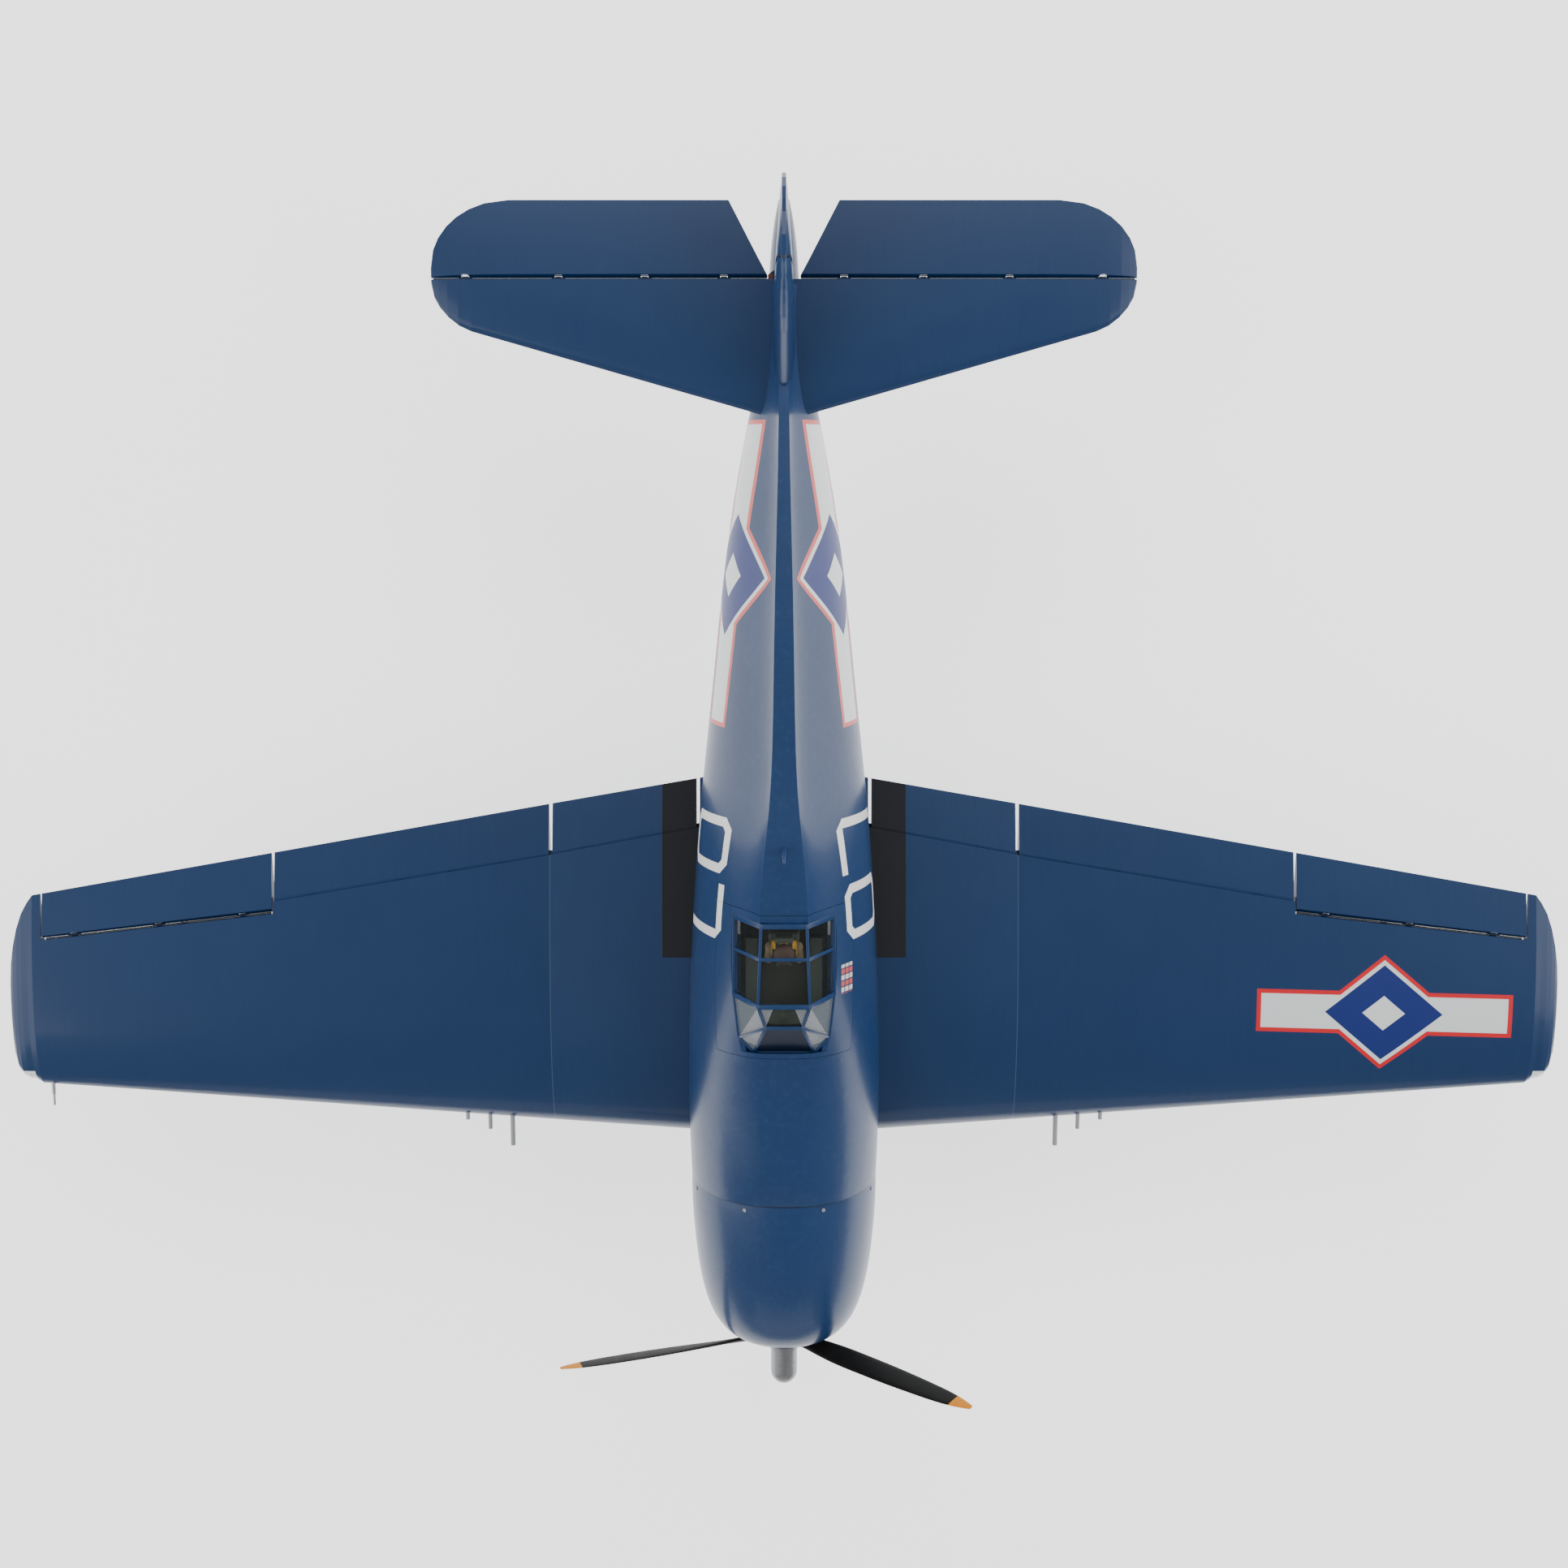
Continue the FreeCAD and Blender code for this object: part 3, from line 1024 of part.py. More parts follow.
# ---------------------------------------------------------------- build everything
def main():
    os.makedirs("parts", exist_ok=True)
    outer, inner = fuselage_body(), fuselage_body(SKIN)

    save("fuselage_shell", fuselage_shell(outer, inner))
    save("cockpit_hatch", cockpit_hatch(outer, inner))
    save("canopy_glass", canopy_glass())
    save("engine_cowl", engine_cowl())

    wing = build_wing(outer)
    save_pair("inner_wing", wing["inner_panel"])
    save("left_outer_wing", wing["outer_panel"])
    save("right_outer_wing", mirrored(wing["outer_panel"]).cut(pitot_tube()))
    save_pair("inner_flap", wing["inner_flap"])
    save_pair("outer_flap", wing["outer_flap"])
    save_pair("aileron", wing["aileron"])
    save("gun_barrels", group([wing["guns"], mirrored(wing["guns"])]))
    save("wing_tip_lights", group([wing["light"], mirrored(wing["light"])]))
    dowels = group([wing["dowel"], mirrored(wing["dowel"])])
    save("wing_joiner_tubes", group([fused([wing["spar"], mirrored(wing["spar"])]), dowels]))
    save("pitot_tube", pitot_tube())

    stabiliser, elevator, tail_knuckles = build_stabiliser(outer)
    fin, rudder, fin_knuckles = build_fin(outer)
    stabiliser = stabiliser.cut(fin)
    save_pair("stabiliser", stabiliser)
    save_pair("elevator", elevator)
    save("fin", fin)
    save("rudder", rudder)
    save("rudder_push_rod", rudder_rod())
    wing_knuckles = group(wing["knuckles"] + tail_knuckles)
    save("hinges", group([wing_knuckles, mirrored(wing_knuckles), group(fin_knuckles)]))

    servo, hatch = aileron_servo(), servo_hatch()
    save("servos", group([servo, mirrored(servo), tail_servos()]))
    save("servo_hatches", group([hatch, mirrored(hatch)]))
    save_pair("aileron_servo_arm", aileron_arm())
    save_pair("aileron_push_rod", aileron_rod())

    blades = propeller_blades()
    save("propeller_blades", blades)
    save("propeller_hub", propeller_hub(blades))
    save("hub_dome", hub_dome())
    save("motor_rotor", motor_rotor())
    save("motor_stator", motor_stator())
    save("motor_box", motor_box())
    save("dummy_engine", dummy_engine())

    save("plywood_frames", plywood_frames(inner))
    save("battery", battery())
    save("battery_straps", battery_straps())
    save("speed_controller", speed_controller())
    save("receiver", receiver())
    save("cockpit_interior", cockpit_interior())
    save("pilot_figure", pilot_figure())
    save("antenna_mast", antenna_mast(outer))

    blocks = trunnion_blocks()
    save("gear_bearing_blocks", group([blocks, mirrored(blocks)]))
    save_pair("gear_trunnion", gear_trunnion())
    save_pair("gear_leg", gear_leg())
    save_pair("gear_fairing", gear_fairing())
    save_pair("wheel_hub", wheel_hub())
    save_pair("tyre", tyre(Vector(GEAR_X, GEAR_Y, WHEEL_R), WHEEL_R, WHEEL_W, 25.0, True))
    save("tail_wheel_fork", tailwheel_fork())
    save("tail_wheel", tailwheel())


main()
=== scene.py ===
import math

import bpy
from mathutils import Matrix, Vector


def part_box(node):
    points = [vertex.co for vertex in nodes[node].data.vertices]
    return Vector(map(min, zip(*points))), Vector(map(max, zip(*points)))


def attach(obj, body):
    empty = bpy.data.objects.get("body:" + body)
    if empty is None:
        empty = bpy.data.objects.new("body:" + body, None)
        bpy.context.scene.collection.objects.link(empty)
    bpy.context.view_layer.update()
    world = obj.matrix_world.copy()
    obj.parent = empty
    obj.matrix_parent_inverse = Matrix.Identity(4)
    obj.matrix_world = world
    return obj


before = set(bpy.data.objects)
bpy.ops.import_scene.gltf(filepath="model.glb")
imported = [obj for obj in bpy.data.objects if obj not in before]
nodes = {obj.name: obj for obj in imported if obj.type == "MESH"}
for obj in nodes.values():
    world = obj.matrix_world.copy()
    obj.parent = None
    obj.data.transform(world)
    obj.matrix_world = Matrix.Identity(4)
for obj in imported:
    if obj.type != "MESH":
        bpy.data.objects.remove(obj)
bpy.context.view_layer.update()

# All in metres, with the nose towards -Y and the left wing towards +X.
MM = 0.001
THRUST = 0.270          # height of the propeller's shaft
COWL_JOINT = -0.3802    # where the cowl meets the fuselage
PANEL_JOINT = 0.2521    # where the inner and outer wing panels meet
CRISP = 0.0004          # width over which a painted edge fades
PROP_TIP = max(math.hypot(point.co.x, point.co.z - THRUST)
               for point in nodes["propeller_blades"].data.vertices)


# ---------------------------------------------------------------- finishes
class Level:
    """A value inside a finish. Sums on it become Math nodes."""

    def __init__(self, finish, socket):
        self.finish = finish
        self.socket = socket

    def of(self, output):
        return Level(self.finish, self.socket.node.outputs[output])

    def __add__(self, other):
        return self.finish.maths("ADD", self, other)

    def __radd__(self, other):
        return self.finish.maths("ADD", other, self)

    def __sub__(self, other):
        return self.finish.maths("SUBTRACT", self, other)

    def __rsub__(self, other):
        return self.finish.maths("SUBTRACT", other, self)

    def __mul__(self, other):
        return self.finish.maths("MULTIPLY", self, other)

    def __rmul__(self, other):
        return self.finish.maths("MULTIPLY", other, self)

    def __pow__(self, other):
        return self.finish.maths("POWER", self, other)

    def __abs__(self):
        return self.finish.maths("ABSOLUTE", self)

    def sign(self):
        return self.finish.maths("SIGN", self)

    def wave(self):
        return self.finish.maths("SINE", self)

    def wrap(self, step):
        return self.finish.maths("WRAP", self, step, 0.0)

    def most(self, other):
        return self.finish.maths("MAXIMUM", self, other)

    def held(self):
        return self.finish.maths("ADD", self, 0.0, clamp=True)


class Finish:
    """One material, built up from nodes."""

    def __init__(self, name):
        self.material = bpy.data.materials.new(name)
        self.material.use_nodes = True
        self.tree = self.material.node_tree
        self.tree.nodes.clear()
        self.spot = self.node("TexCoord", {}, {}, "Object")
        split = self.node("SeparateXYZ", {}, {0: self.spot})
        self.x, self.y, self.z = split.of("X"), split.of("Y"), split.of("Z")

    def node(self, kind, settings, sockets, output=0):
        made = self.tree.nodes.new("ShaderNode" + kind)
        for name, value in settings.items():
            setattr(made, name, value)
        for name, value in sockets.items():
            if isinstance(value, Level):
                self.tree.links.new(value.socket, made.inputs[name])
            else:
                made.inputs[name].default_value = value
        return Level(self, made.outputs[output])

    def maths(self, operation, first, second=0.0, third=None, clamp=False):
        sockets = {0: first, 1: second}
        if third is not None:
            sockets[2] = third
        return self.node("Math", {"operation": operation, "use_clamp": clamp}, sockets)

    def facing(self):
        """Which way the surface looks: its normal's parts."""
        normal = self.node("TexCoord", {}, {}, "Normal")
        return self.node("SeparateXYZ", {}, {0: normal})

    def noise(self, scale, detail=2.0, stretch=(1, 1, 1)):
        spot = self.node("Mapping", {}, {"Vector": self.spot, "Scale": stretch})
        return self.node("TexNoise", {}, {"Vector": spot, "Scale": scale, "Detail": detail})

    def cells(self, scale):
        return self.node("TexVoronoi", {}, {"Vector": self.spot, "Scale": scale})

    def tint(self, factor, below, above):
        return self.node("Mix", {"data_type": "RGBA"}, {0: factor, 6: below, 7: above}, 2)

    def band(self, value, centre, half, soft=CRISP):
        """1 within half of the centre, falling to 0 over the soft width."""
        return ((half - abs(value - centre)) * (1.0 / soft) + 0.5).held()

    def over(self, value, limit, soft=CRISP):
        """1 above the limit, 0 below it."""
        return ((value - limit) * (1.0 / soft) + 0.5).held()

    def under(self, value, limit, soft=CRISP):
        """1 below the limit, 0 above it."""
        return ((limit - value) * (1.0 / soft) + 0.5).held()

    def bump(self, height, depth, strength):
        """Height is about 0 to 1 and depth is in metres."""
        return self.node("Bump", {}, {"Strength": strength, "Distance": depth, "Height": height})

    def body(self, colour, roughness, metallic=0.0, normal=None, more=None):
        """The surface shader. Any other sockets it needs are in more."""
        sockets = {"Base Color": colour, "Roughness": roughness, "Metallic": metallic}
        if normal is not None:
            sockets["Normal"] = normal
        sockets.update(more or {})
        return self.node("BsdfPrincipled", {}, sockets)

    def close(self, shader):
        end = self.tree.nodes.new("ShaderNodeOutputMaterial")
        self.tree.links.new(shader.socket, end.inputs["Surface"])
        return self.material


def rgb(red, green, blue):
    """A colour from its eight bit parts, made linear."""
    def linear(part):
        share = part / 255.0
        return share / 12.92 if share <= 0.04045 else ((share + 0.055) / 1.055) ** 2.4
    return (linear(red), linear(green), linear(blue), 1.0)


NAVY = rgb(17, 50, 92)
NAVY_DEEP = rgb(14, 42, 80)
GEL_NAVY = rgb(22, 56, 100)
GEL_DEEP = rgb(17, 46, 86)
MARK_RED = rgb(212, 32, 42)
MARK_BLUE = rgb(26, 42, 112)
MARK_WHITE = rgb(226, 229, 230)
FADED_RED = rgb(222, 100, 94)
CREAM = rgb(234, 236, 232)


def marking(finish, colour, along, across, half_long, half_high, radius, edge, red):
    """A plain bar with a lozenge on it, each with a thin edge."""
    def lozenge(size):
        """Slightly longer than it is high, with a crisp edge."""
        return ((size - abs(along) * 0.92 - abs(across) * 1.08) * 1500.0 + 0.5).held()

    def bar(inset):
        return finish.band(along, 0.0, half_long - inset) * finish.band(across, 0.0, half_high - inset)

    plate = bar(0.0).most(lozenge(radius))
    white = bar(edge).most(lozenge(radius - 1.3 * edge))
    blue = lozenge(radius - 2.6 * edge)
    core = lozenge(radius * 0.30)
    colour = finish.tint(plate, colour, red)
    colour = finish.tint(white, colour, MARK_WHITE)
    colour = finish.tint(blue, colour, MARK_BLUE)
    return finish.tint(core, colour, MARK_WHITE), plate


def walkway_mat(finish, up, colour, roughness, relief):
    """Non-slip black mat beside the fuselage, on the upper skin only."""
    middle, half, front, soft = 0.1115, 0.0195, -0.154, 0.0003
    mat = finish.band(abs(finish.x), middle, half, soft) * finish.over(finish.y, front, soft) * up
    grit = finish.noise(1400.0, 2.0)
    colour = finish.tint(mat, colour, finish.tint(grit, rgb(11, 12, 15), rgb(34, 36, 42)))
    roughness = roughness * (1.0 - mat) + mat * (0.72 + 0.2 * grit)
    relief = relief * (1.0 - mat) + mat * (1.2 + 0.5 * grit)
    return colour, roughness, relief


def blue_film(name, wing=False, walkway=False, wing_mark=False):
    """Ironed-on covering film over sheeted wood: smooth gloss, faint grain and slack."""
    finish = Finish(name)
    cloud = finish.noise(3.2, 3.0)
    colour = finish.tint(cloud, NAVY_DEEP, NAVY)
    grain = finish.noise(60.0, 3.0, (7.0, 0.35, 1.0))
    slack = finish.noise(9.0, 2.0)
    colour = finish.tint(grain * 0.10, colour, rgb(40, 80, 128))
    roughness = 0.30 + 0.10 * finish.noise(22.0, 3.0) + 0.05 * grain
    relief = grain * 0.3 + slack
    up = finish.over(finish.facing().of("Z"), 0.2, 0.1)
    if wing:
        fold = finish.band(abs(finish.x), PANEL_JOINT, 0.0004)
        colour = finish.tint(fold, colour, rgb(60, 82, 110))
    if walkway:
        colour, roughness, relief = walkway_mat(finish, up, colour, roughness, relief)
    if wing_mark:
        along, across = finish.x - 0.6335, finish.y + 0.205
        marked, plate = marking(finish, colour, along, across, 0.1305, 0.023, 0.067, 0.0045, MARK_RED)
        colour = finish.tint(up, colour, marked)
        relief = relief + plate * up * 0.12
    shader = finish.body(colour, roughness, normal=finish.bump(relief, 0.00035, 0.55), more={
        "Specular IOR Level": 0.32, "Coat Weight": 0.25, "Coat Roughness": 0.12})
    return finish.close(shader)


def side_number(finish, along, height):
    """Two plain block digits with cut corners, nought and seven."""
    wide, high, stroke, second = 0.056, 0.085, 0.0095, 0.066
    end = second + wide

    def block(left, right, low, top):
        flat = finish.band(along, 0.5 * (left + right), 0.5 * (right - left))
        return flat * finish.band(height, 0.5 * (low + top), 0.5 * (top - low))

    slope = abs(along - 0.5 * wide) + abs(height - 0.5 * high)
    nought = block(0.0, wide, 0.0, high) * finish.under(slope, 0.0600)
    nought = nought - block(stroke, wide - stroke, stroke, high - stroke) * finish.under(slope, 0.0470)
    corner = finish.under(along + height, end + high - 0.0105)
    seven = block(second, end, high - stroke, high).most(block(end - stroke, end, 0.0, high)) * corner
    return nought.most(seven).held()


def side_paint(finish, colour, roughness, relief):
    """The number and the mark on both flanks, each reading the right way round."""
    side = finish.x.sign()
    steep = finish.over(abs(finish.x), 0.012, 0.002)
    number = side_number(finish, side * finish.y + side * 0.0435 + 0.0615, finish.z - 0.2855) * steep
    colour = finish.tint(number, colour, CREAM)
    turn = math.radians(2.5)
    reach, rise = finish.y - 0.256, finish.z - 0.324
    along = reach * math.cos(turn) + rise * math.sin(turn)
    across = rise * math.cos(turn) - reach * math.sin(turn)
    marked, plate = marking(finish, colour, along, across, 0.150, 0.021, 0.066, 0.0042, FADED_RED)
    colour = finish.tint(steep * finish.over(finish.z, 0.25), colour, marked)
    roughness = roughness + 0.12 * plate + 0.12 * number
    return colour, roughness, relief + (number + plate) * 0.25


def tally_squares(finish, colour):
    """Small red and pale squares under the canopy's left sill."""
    cell, gap, start = 0.0062, 0.0012, -0.156
    rows = finish.over((finish.y - start).wrap(cell), gap)
    columns = finish.over((finish.z - 0.300).wrap(cell), gap)
    area = finish.band(finish.y, -0.1415, 0.0150) * finish.band(finish.z, 0.3719, 0.0093)
    area = area * finish.over(finish.x, 0.057)
    red = finish.over((finish.y - start).wrap(2.0 * cell), cell)
    square = finish.tint(red, rgb(222, 214, 208), rgb(206, 96, 92))
    return finish.tint(area * rows * columns, colour, square)


def cockpit_well(finish):
    """The inside of the hatch, below the glass, which is painted dark."""
    length = finish.band(finish.y, -0.1400, 0.0640)
    return finish.band(finish.x, 0.0, 0.0435) * length * finish.under(finish.z, 0.3866)


def blue_gelcoat(name, sides=False, cockpit=False, cowl=False):
    """Sprayed two-pack colour over glass cloth: deep gloss with a little orange peel."""
    finish = Finish(name)
    cloud = finish.noise(4.0, 3.0)
    colour = finish.tint(cloud, GEL_DEEP, GEL_NAVY)
    dust = finish.noise(160.0, 4.0)
    colour = finish.tint(dust ** 6.0, colour, rgb(60, 92, 134))
    roughness = 0.27 + 0.09 * finish.noise(30.0, 3.0)
    relief = finish.noise(420.0, 1.0) * 0.5 + finish.noise(11.0, 1.0) * 4.0
    if sides:
        colour, roughness, relief = side_paint(finish, colour, roughness, relief)
    if cockpit:
        colour = tally_squares(finish, colour)
        well = cockpit_well(finish)
        colour = finish.tint(well, colour, finish.tint(cloud, rgb(22, 24, 20), rgb(40, 42, 34)))
        roughness = roughness + 0.45 * well
    if sides or cowl:
        joint = finish.band(finish.y, COWL_JOINT, 0.0007, 0.0006)
        colour = finish.tint(joint * 0.85, colour, rgb(6, 12, 24))
    shader = finish.body(colour, roughness, normal=finish.bump(relief, 0.00012, 0.6), more={
        "Specular IOR Level": 0.42, "Coat Weight": 0.15, "Coat Roughness": 0.10})
    return finish.close(shader)


def smoked_glass():
    """Tinted blown plastic: clear roof and sides, with the low front panel painted from inside, and a
    painted whitish reflection on the side quarter panes.
    """
    finish = Finish("smoked_glass")
    haze = finish.noise(14.0, 3.0)
    # Half the front panel's width, which narrows from its foot to its top.
    half = 0.0295 - (finish.y + 0.2135) * (0.0115 / 0.0345)
    front = finish.under(finish.y, -0.1792) * finish.under(abs(finish.x), half)
    colour = finish.tint(haze, rgb(58, 64, 62), rgb(84, 90, 88))
    # Painted reflection: the side quarter panes are tinted whitish and made less clear.
    quarter_reflection = finish.under(finish.y, -0.1560) * finish.over(abs(finish.x), half)
    colour = finish.tint(quarter_reflection, colour, rgb(150, 158, 166))
    colour = finish.tint(front, colour, rgb(12, 26, 50))
    alpha = (0.05 + 0.05 * haze + 0.30 * quarter_reflection).most(front)
    roughness = 0.04 + 0.05 * haze + 0.4 * front
    shader = finish.body(colour, roughness, normal=finish.bump(haze, 0.0004, 0.2), more={
        "Alpha": alpha, "Specular IOR Level": 0.5,
        "Coat Weight": 0.8 - 0.8 * front, "Coat Roughness": 0.02})
    return finish.close(shader)


def clear_lens():
    """Moulded lamp cover with a pebbled inside."""
    finish = Finish("clear_lens")
    ripple = finish.cells(420.0)
    colour = finish.tint(ripple, rgb(208, 218, 224), rgb(240, 244, 246))
    shader = finish.body(colour, 0.05 + 0.08 * ripple, normal=finish.bump(ripple, 0.0002, 0.5), more={
        "Alpha": 0.45 + 0.2 * ripple, "Specular IOR Level": 0.8, "Coat Weight": 1.0})
    return finish.close(shader)


def metal(name, dark, light, rough, stretch=(1, 1, 1), scale=260.0, shine=1.0):
    """Worked metal: fine lay marks and blotchy tarnish."""
    finish = Finish(name)
    lay = finish.noise(scale, 4.0, stretch)
    tarnish = finish.noise(38.0, 4.0)
    colour = finish.tint(lay * 0.6 + tarnish * 0.4, dark, light)
    spots = (dark[0] * 0.5, dark[1] * 0.48, dark[2] * 0.45, 1.0)
    colour = finish.tint((tarnish ** 5.0) * 1.5, colour, spots)
    roughness = rough + 0.16 * lay + 0.10 * tarnish
    shader = finish.body(colour, roughness, shine, finish.bump(lay, 0.00004, 0.5))
    return finish.close(shader)


def painted(name, dark, light, rough=0.45, scale=90.0, coat=0.0, depth=0.00006, wear=None):
    """Paint or moulded plastic: cloudy tone, fine texture and optional worn specks."""
    finish = Finish(name)
    tone = finish.noise(scale * 0.15, 3.0)
    fine = finish.noise(scale * 9.0, 3.0)
    colour = finish.tint(tone * 0.7 + fine * 0.3, dark, light)
    if wear:
        chips = finish.over(finish.noise(scale * 2.2, 5.0), 0.66, 0.03)
        colour = finish.tint(chips, colour, wear)
    normal = finish.bump(fine, depth, 0.6)
    shader = finish.body(colour, rough + 0.14 * fine, normal=normal, more={"Coat Weight": coat})
    return finish.close(shader)


def shaft_distance(finish):
    """Distance from the propeller shaft."""
    height = finish.z - THRUST
    return finish.maths("SQRT", finish.x * finish.x + height * height)


def blade_black():
    """Satin black blades with orange-yellow tips."""
    finish = Finish("blade_black")
    radius = shaft_distance(finish)
    tip = finish.over(radius, PROP_TIP - 0.0215, 0.0008)
    cloth = finish.noise(55.0, 4.0)
    colour = finish.tint(cloth, rgb(13, 13, 13), rgb(27, 27, 25))
    colour = finish.tint(tip, colour, finish.tint(cloth, rgb(226, 132, 20), rgb(240, 160, 44)))
    fine = finish.noise(900.0, 2.0)
    shader = finish.body(colour, 0.46 + 0.14 * cloth, normal=finish.bump(fine, 0.00003, 0.6), more={
        "Specular IOR Level": 0.15})
    return finish.close(shader)


def plywood():
    """Birch ply: long grain, and dark laser-cut edges with layers."""
    finish = Finish("plywood")
    grain = finish.noise(70.0, 5.0, (0.5, 6.0, 6.0))
    layers = finish.over((finish.y * 900.0 * math.pi).wave(), 0.0, 0.6)
    colour = finish.tint(grain, rgb(170, 128, 82), rgb(216, 182, 134))
    edge = 1.0 - abs(finish.facing().of("Y"))
    colour = finish.tint(finish.over(edge, 0.6, 0.2) * (0.35 + 0.4 * layers), colour, rgb(70, 44, 26))
    shader = finish.body(colour, 0.62 + 0.2 * grain, normal=finish.bump(grain, 0.0001, 0.6))
    return finish.close(shader)


def woven(name, dark, light, pitch):
    """Close-woven webbing."""
    finish = Finish(name)
    warp = (finish.x * (math.tau / pitch)).wave()
    weft = (finish.y * (math.tau / pitch)).wave()
    weave = 0.5 + 0.5 * (warp * weft)
    fluff = finish.noise(1500.0, 3.0)
    colour = finish.tint(weave * 0.7 + fluff * 0.3, dark, light)
    shader = finish.body(colour, 0.82 + 0.1 * fluff, normal=finish.bump(weave + 0.4 * fluff, 0.0002, 0.8),
                         more={"Sheen Weight": 0.3})
    return finish.close(shader)


def battery_wrap():
    """Shrink film round flat cells, with a plain band."""
    finish = Finish("battery_wrap")
    crease = finish.noise(40.0, 4.0, (1.0, 5.0, 1.0))
    middle = 0.5 * (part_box("battery")[0].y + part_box("battery")[1].y)
    strip = finish.band(finish.y, middle, 0.022)
    colour = finish.tint(strip, finish.tint(crease, rgb(22, 24, 28), rgb(40, 43, 50)), rgb(196, 158, 46))
    normal = finish.bump(crease, 0.0005, 0.7)
    shader = finish.body(colour, 0.28 + 0.2 * crease, normal=normal, more={"Coat Weight": 0.5})
    return finish.close(shader)


def pilot_paint():
    """Yellow vest over khaki, tan face, brown flying helmet."""
    finish = Finish("pilot_paint")
    cloth = finish.noise(900.0, 3.0)
    fold = finish.noise(120.0, 3.0)
    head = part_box("pilot_figure")[1].z - 0.0204
    vest = finish.tint(fold, rgb(176, 130, 22), rgb(222, 178, 52))
    khaki = finish.tint(fold, rgb(92, 82, 56), rgb(124, 112, 80))
    arm = finish.over(abs(finish.x), 0.0128, 0.001).most(finish.under(finish.y, -0.1135, 0.001))
    colour = finish.tint(arm, vest, khaki)
    seam = finish.band(finish.x, 0.0, 0.0009).most(finish.band(abs(finish.x), 0.0075, 0.0007))
    colour = finish.tint(seam * finish.under(finish.z, head, 0.001), colour, rgb(116, 88, 30))
    helmet = finish.tint(fold, rgb(48, 30, 20), rgb(78, 50, 32))
    skin = finish.tint(cloth, rgb(196, 146, 112), rgb(212, 164, 130))
    face = finish.under(finish.y, -0.1125, 0.0006) * finish.under(finish.z, head + 0.0125, 0.0006)
    face = face * finish.under(abs(finish.x), 0.0072, 0.0006)
    glove = finish.under(finish.z, 0.3830, 0.0006) * finish.under(finish.y, -0.1165, 0.0006)
    colour = finish.tint(finish.over(finish.z, head, 0.0008), colour, finish.tint(face, helmet, skin))
    colour = finish.tint(glove, colour, rgb(52, 36, 24))
    shader = finish.body(colour, 0.62 + 0.2 * cloth, normal=finish.bump(cloth * 0.4 + fold, 0.0004, 0.6))
    return finish.close(shader)


def tyre_rubber():
    """Matt, dusty rubber with fine ribs round the tread."""
    finish = Finish("tyre_rubber")
    dust = finish.noise(90.0, 4.0)
    fine = finish.noise(1600.0, 3.0)
    ribs = (finish.x * (math.tau / 0.0028)).wave()
    colour = finish.tint(dust, rgb(20, 20, 21), rgb(46, 45, 43))
    normal = finish.bump(ribs * 0.6 + fine * 0.3, 0.0003, 0.8)
    shader = finish.body(colour, 0.78 + 0.15 * fine, normal=normal, more={"Specular IOR Level": 0.3})
    return finish.close(shader)


def leg_alloy():
    """Grey painted legs with a bright sliding piston at the lower end."""
    finish = Finish("leg_alloy")
    piston = finish.band(finish.z, 0.104, 0.017)
    fine = finish.noise(1200.0, 3.0)
    lay = finish.noise(400.0, 3.0, (1.0, 1.0, 14.0))
    colour = finish.tint(fine, rgb(128, 132, 136), rgb(158, 162, 166))
    colour = finish.tint(piston, colour, finish.tint(lay, rgb(188, 190, 192), rgb(222, 224, 226)))
    roughness = (0.42 + 0.1 * fine) * (1.0 - piston) + piston * (0.12 + 0.1 * lay)
    shader = finish.body(colour, roughness, 0.35 + 0.65 * piston, finish.bump(fine, 0.00005, 0.5))
    return finish.close(shader)


def engine_grey():
    """Grey crankcase and dark finned cylinders."""
    finish = Finish("engine_grey")
    radius = shaft_distance(finish)
    fins = (radius * (math.tau / 0.0026)).wave()
    outer = finish.over(radius, 0.036, 0.002)
    fine = finish.noise(800.0, 3.0)
    case = finish.tint(fine, rgb(118, 124, 128), rgb(150, 154, 158))
    cylinder = finish.tint(fins * 0.5 + 0.5, rgb(22, 23, 24), rgb(86, 86, 84))
    colour = finish.tint(outer, case, cylinder)
    normal = finish.bump(fins * outer + fine * 0.2, 0.0005, 0.9)
    shader = finish.body(colour, 0.42 + 0.16 * fine, 0.55, normal)
    return finish.close(shader)


def stator_copper():
    """Lacquered windings round the motor's core."""
    finish = Finish("stator_copper")
    around = finish.maths("ARCTAN2", finish.x, finish.z - THRUST)
    turns = (around * 60.0).wave() * 0.5 + 0.5
    lacquer = finish.noise(300.0, 3.0)
    colour = finish.tint(turns, rgb(92, 40, 18), finish.tint(lacquer, rgb(196, 104, 52), rgb(222, 138, 76)))
    shader = finish.body(colour, 0.24 + 0.2 * lacquer, 0.9, finish.bump(turns, 0.0003, 0.8))
    return finish.close(shader)


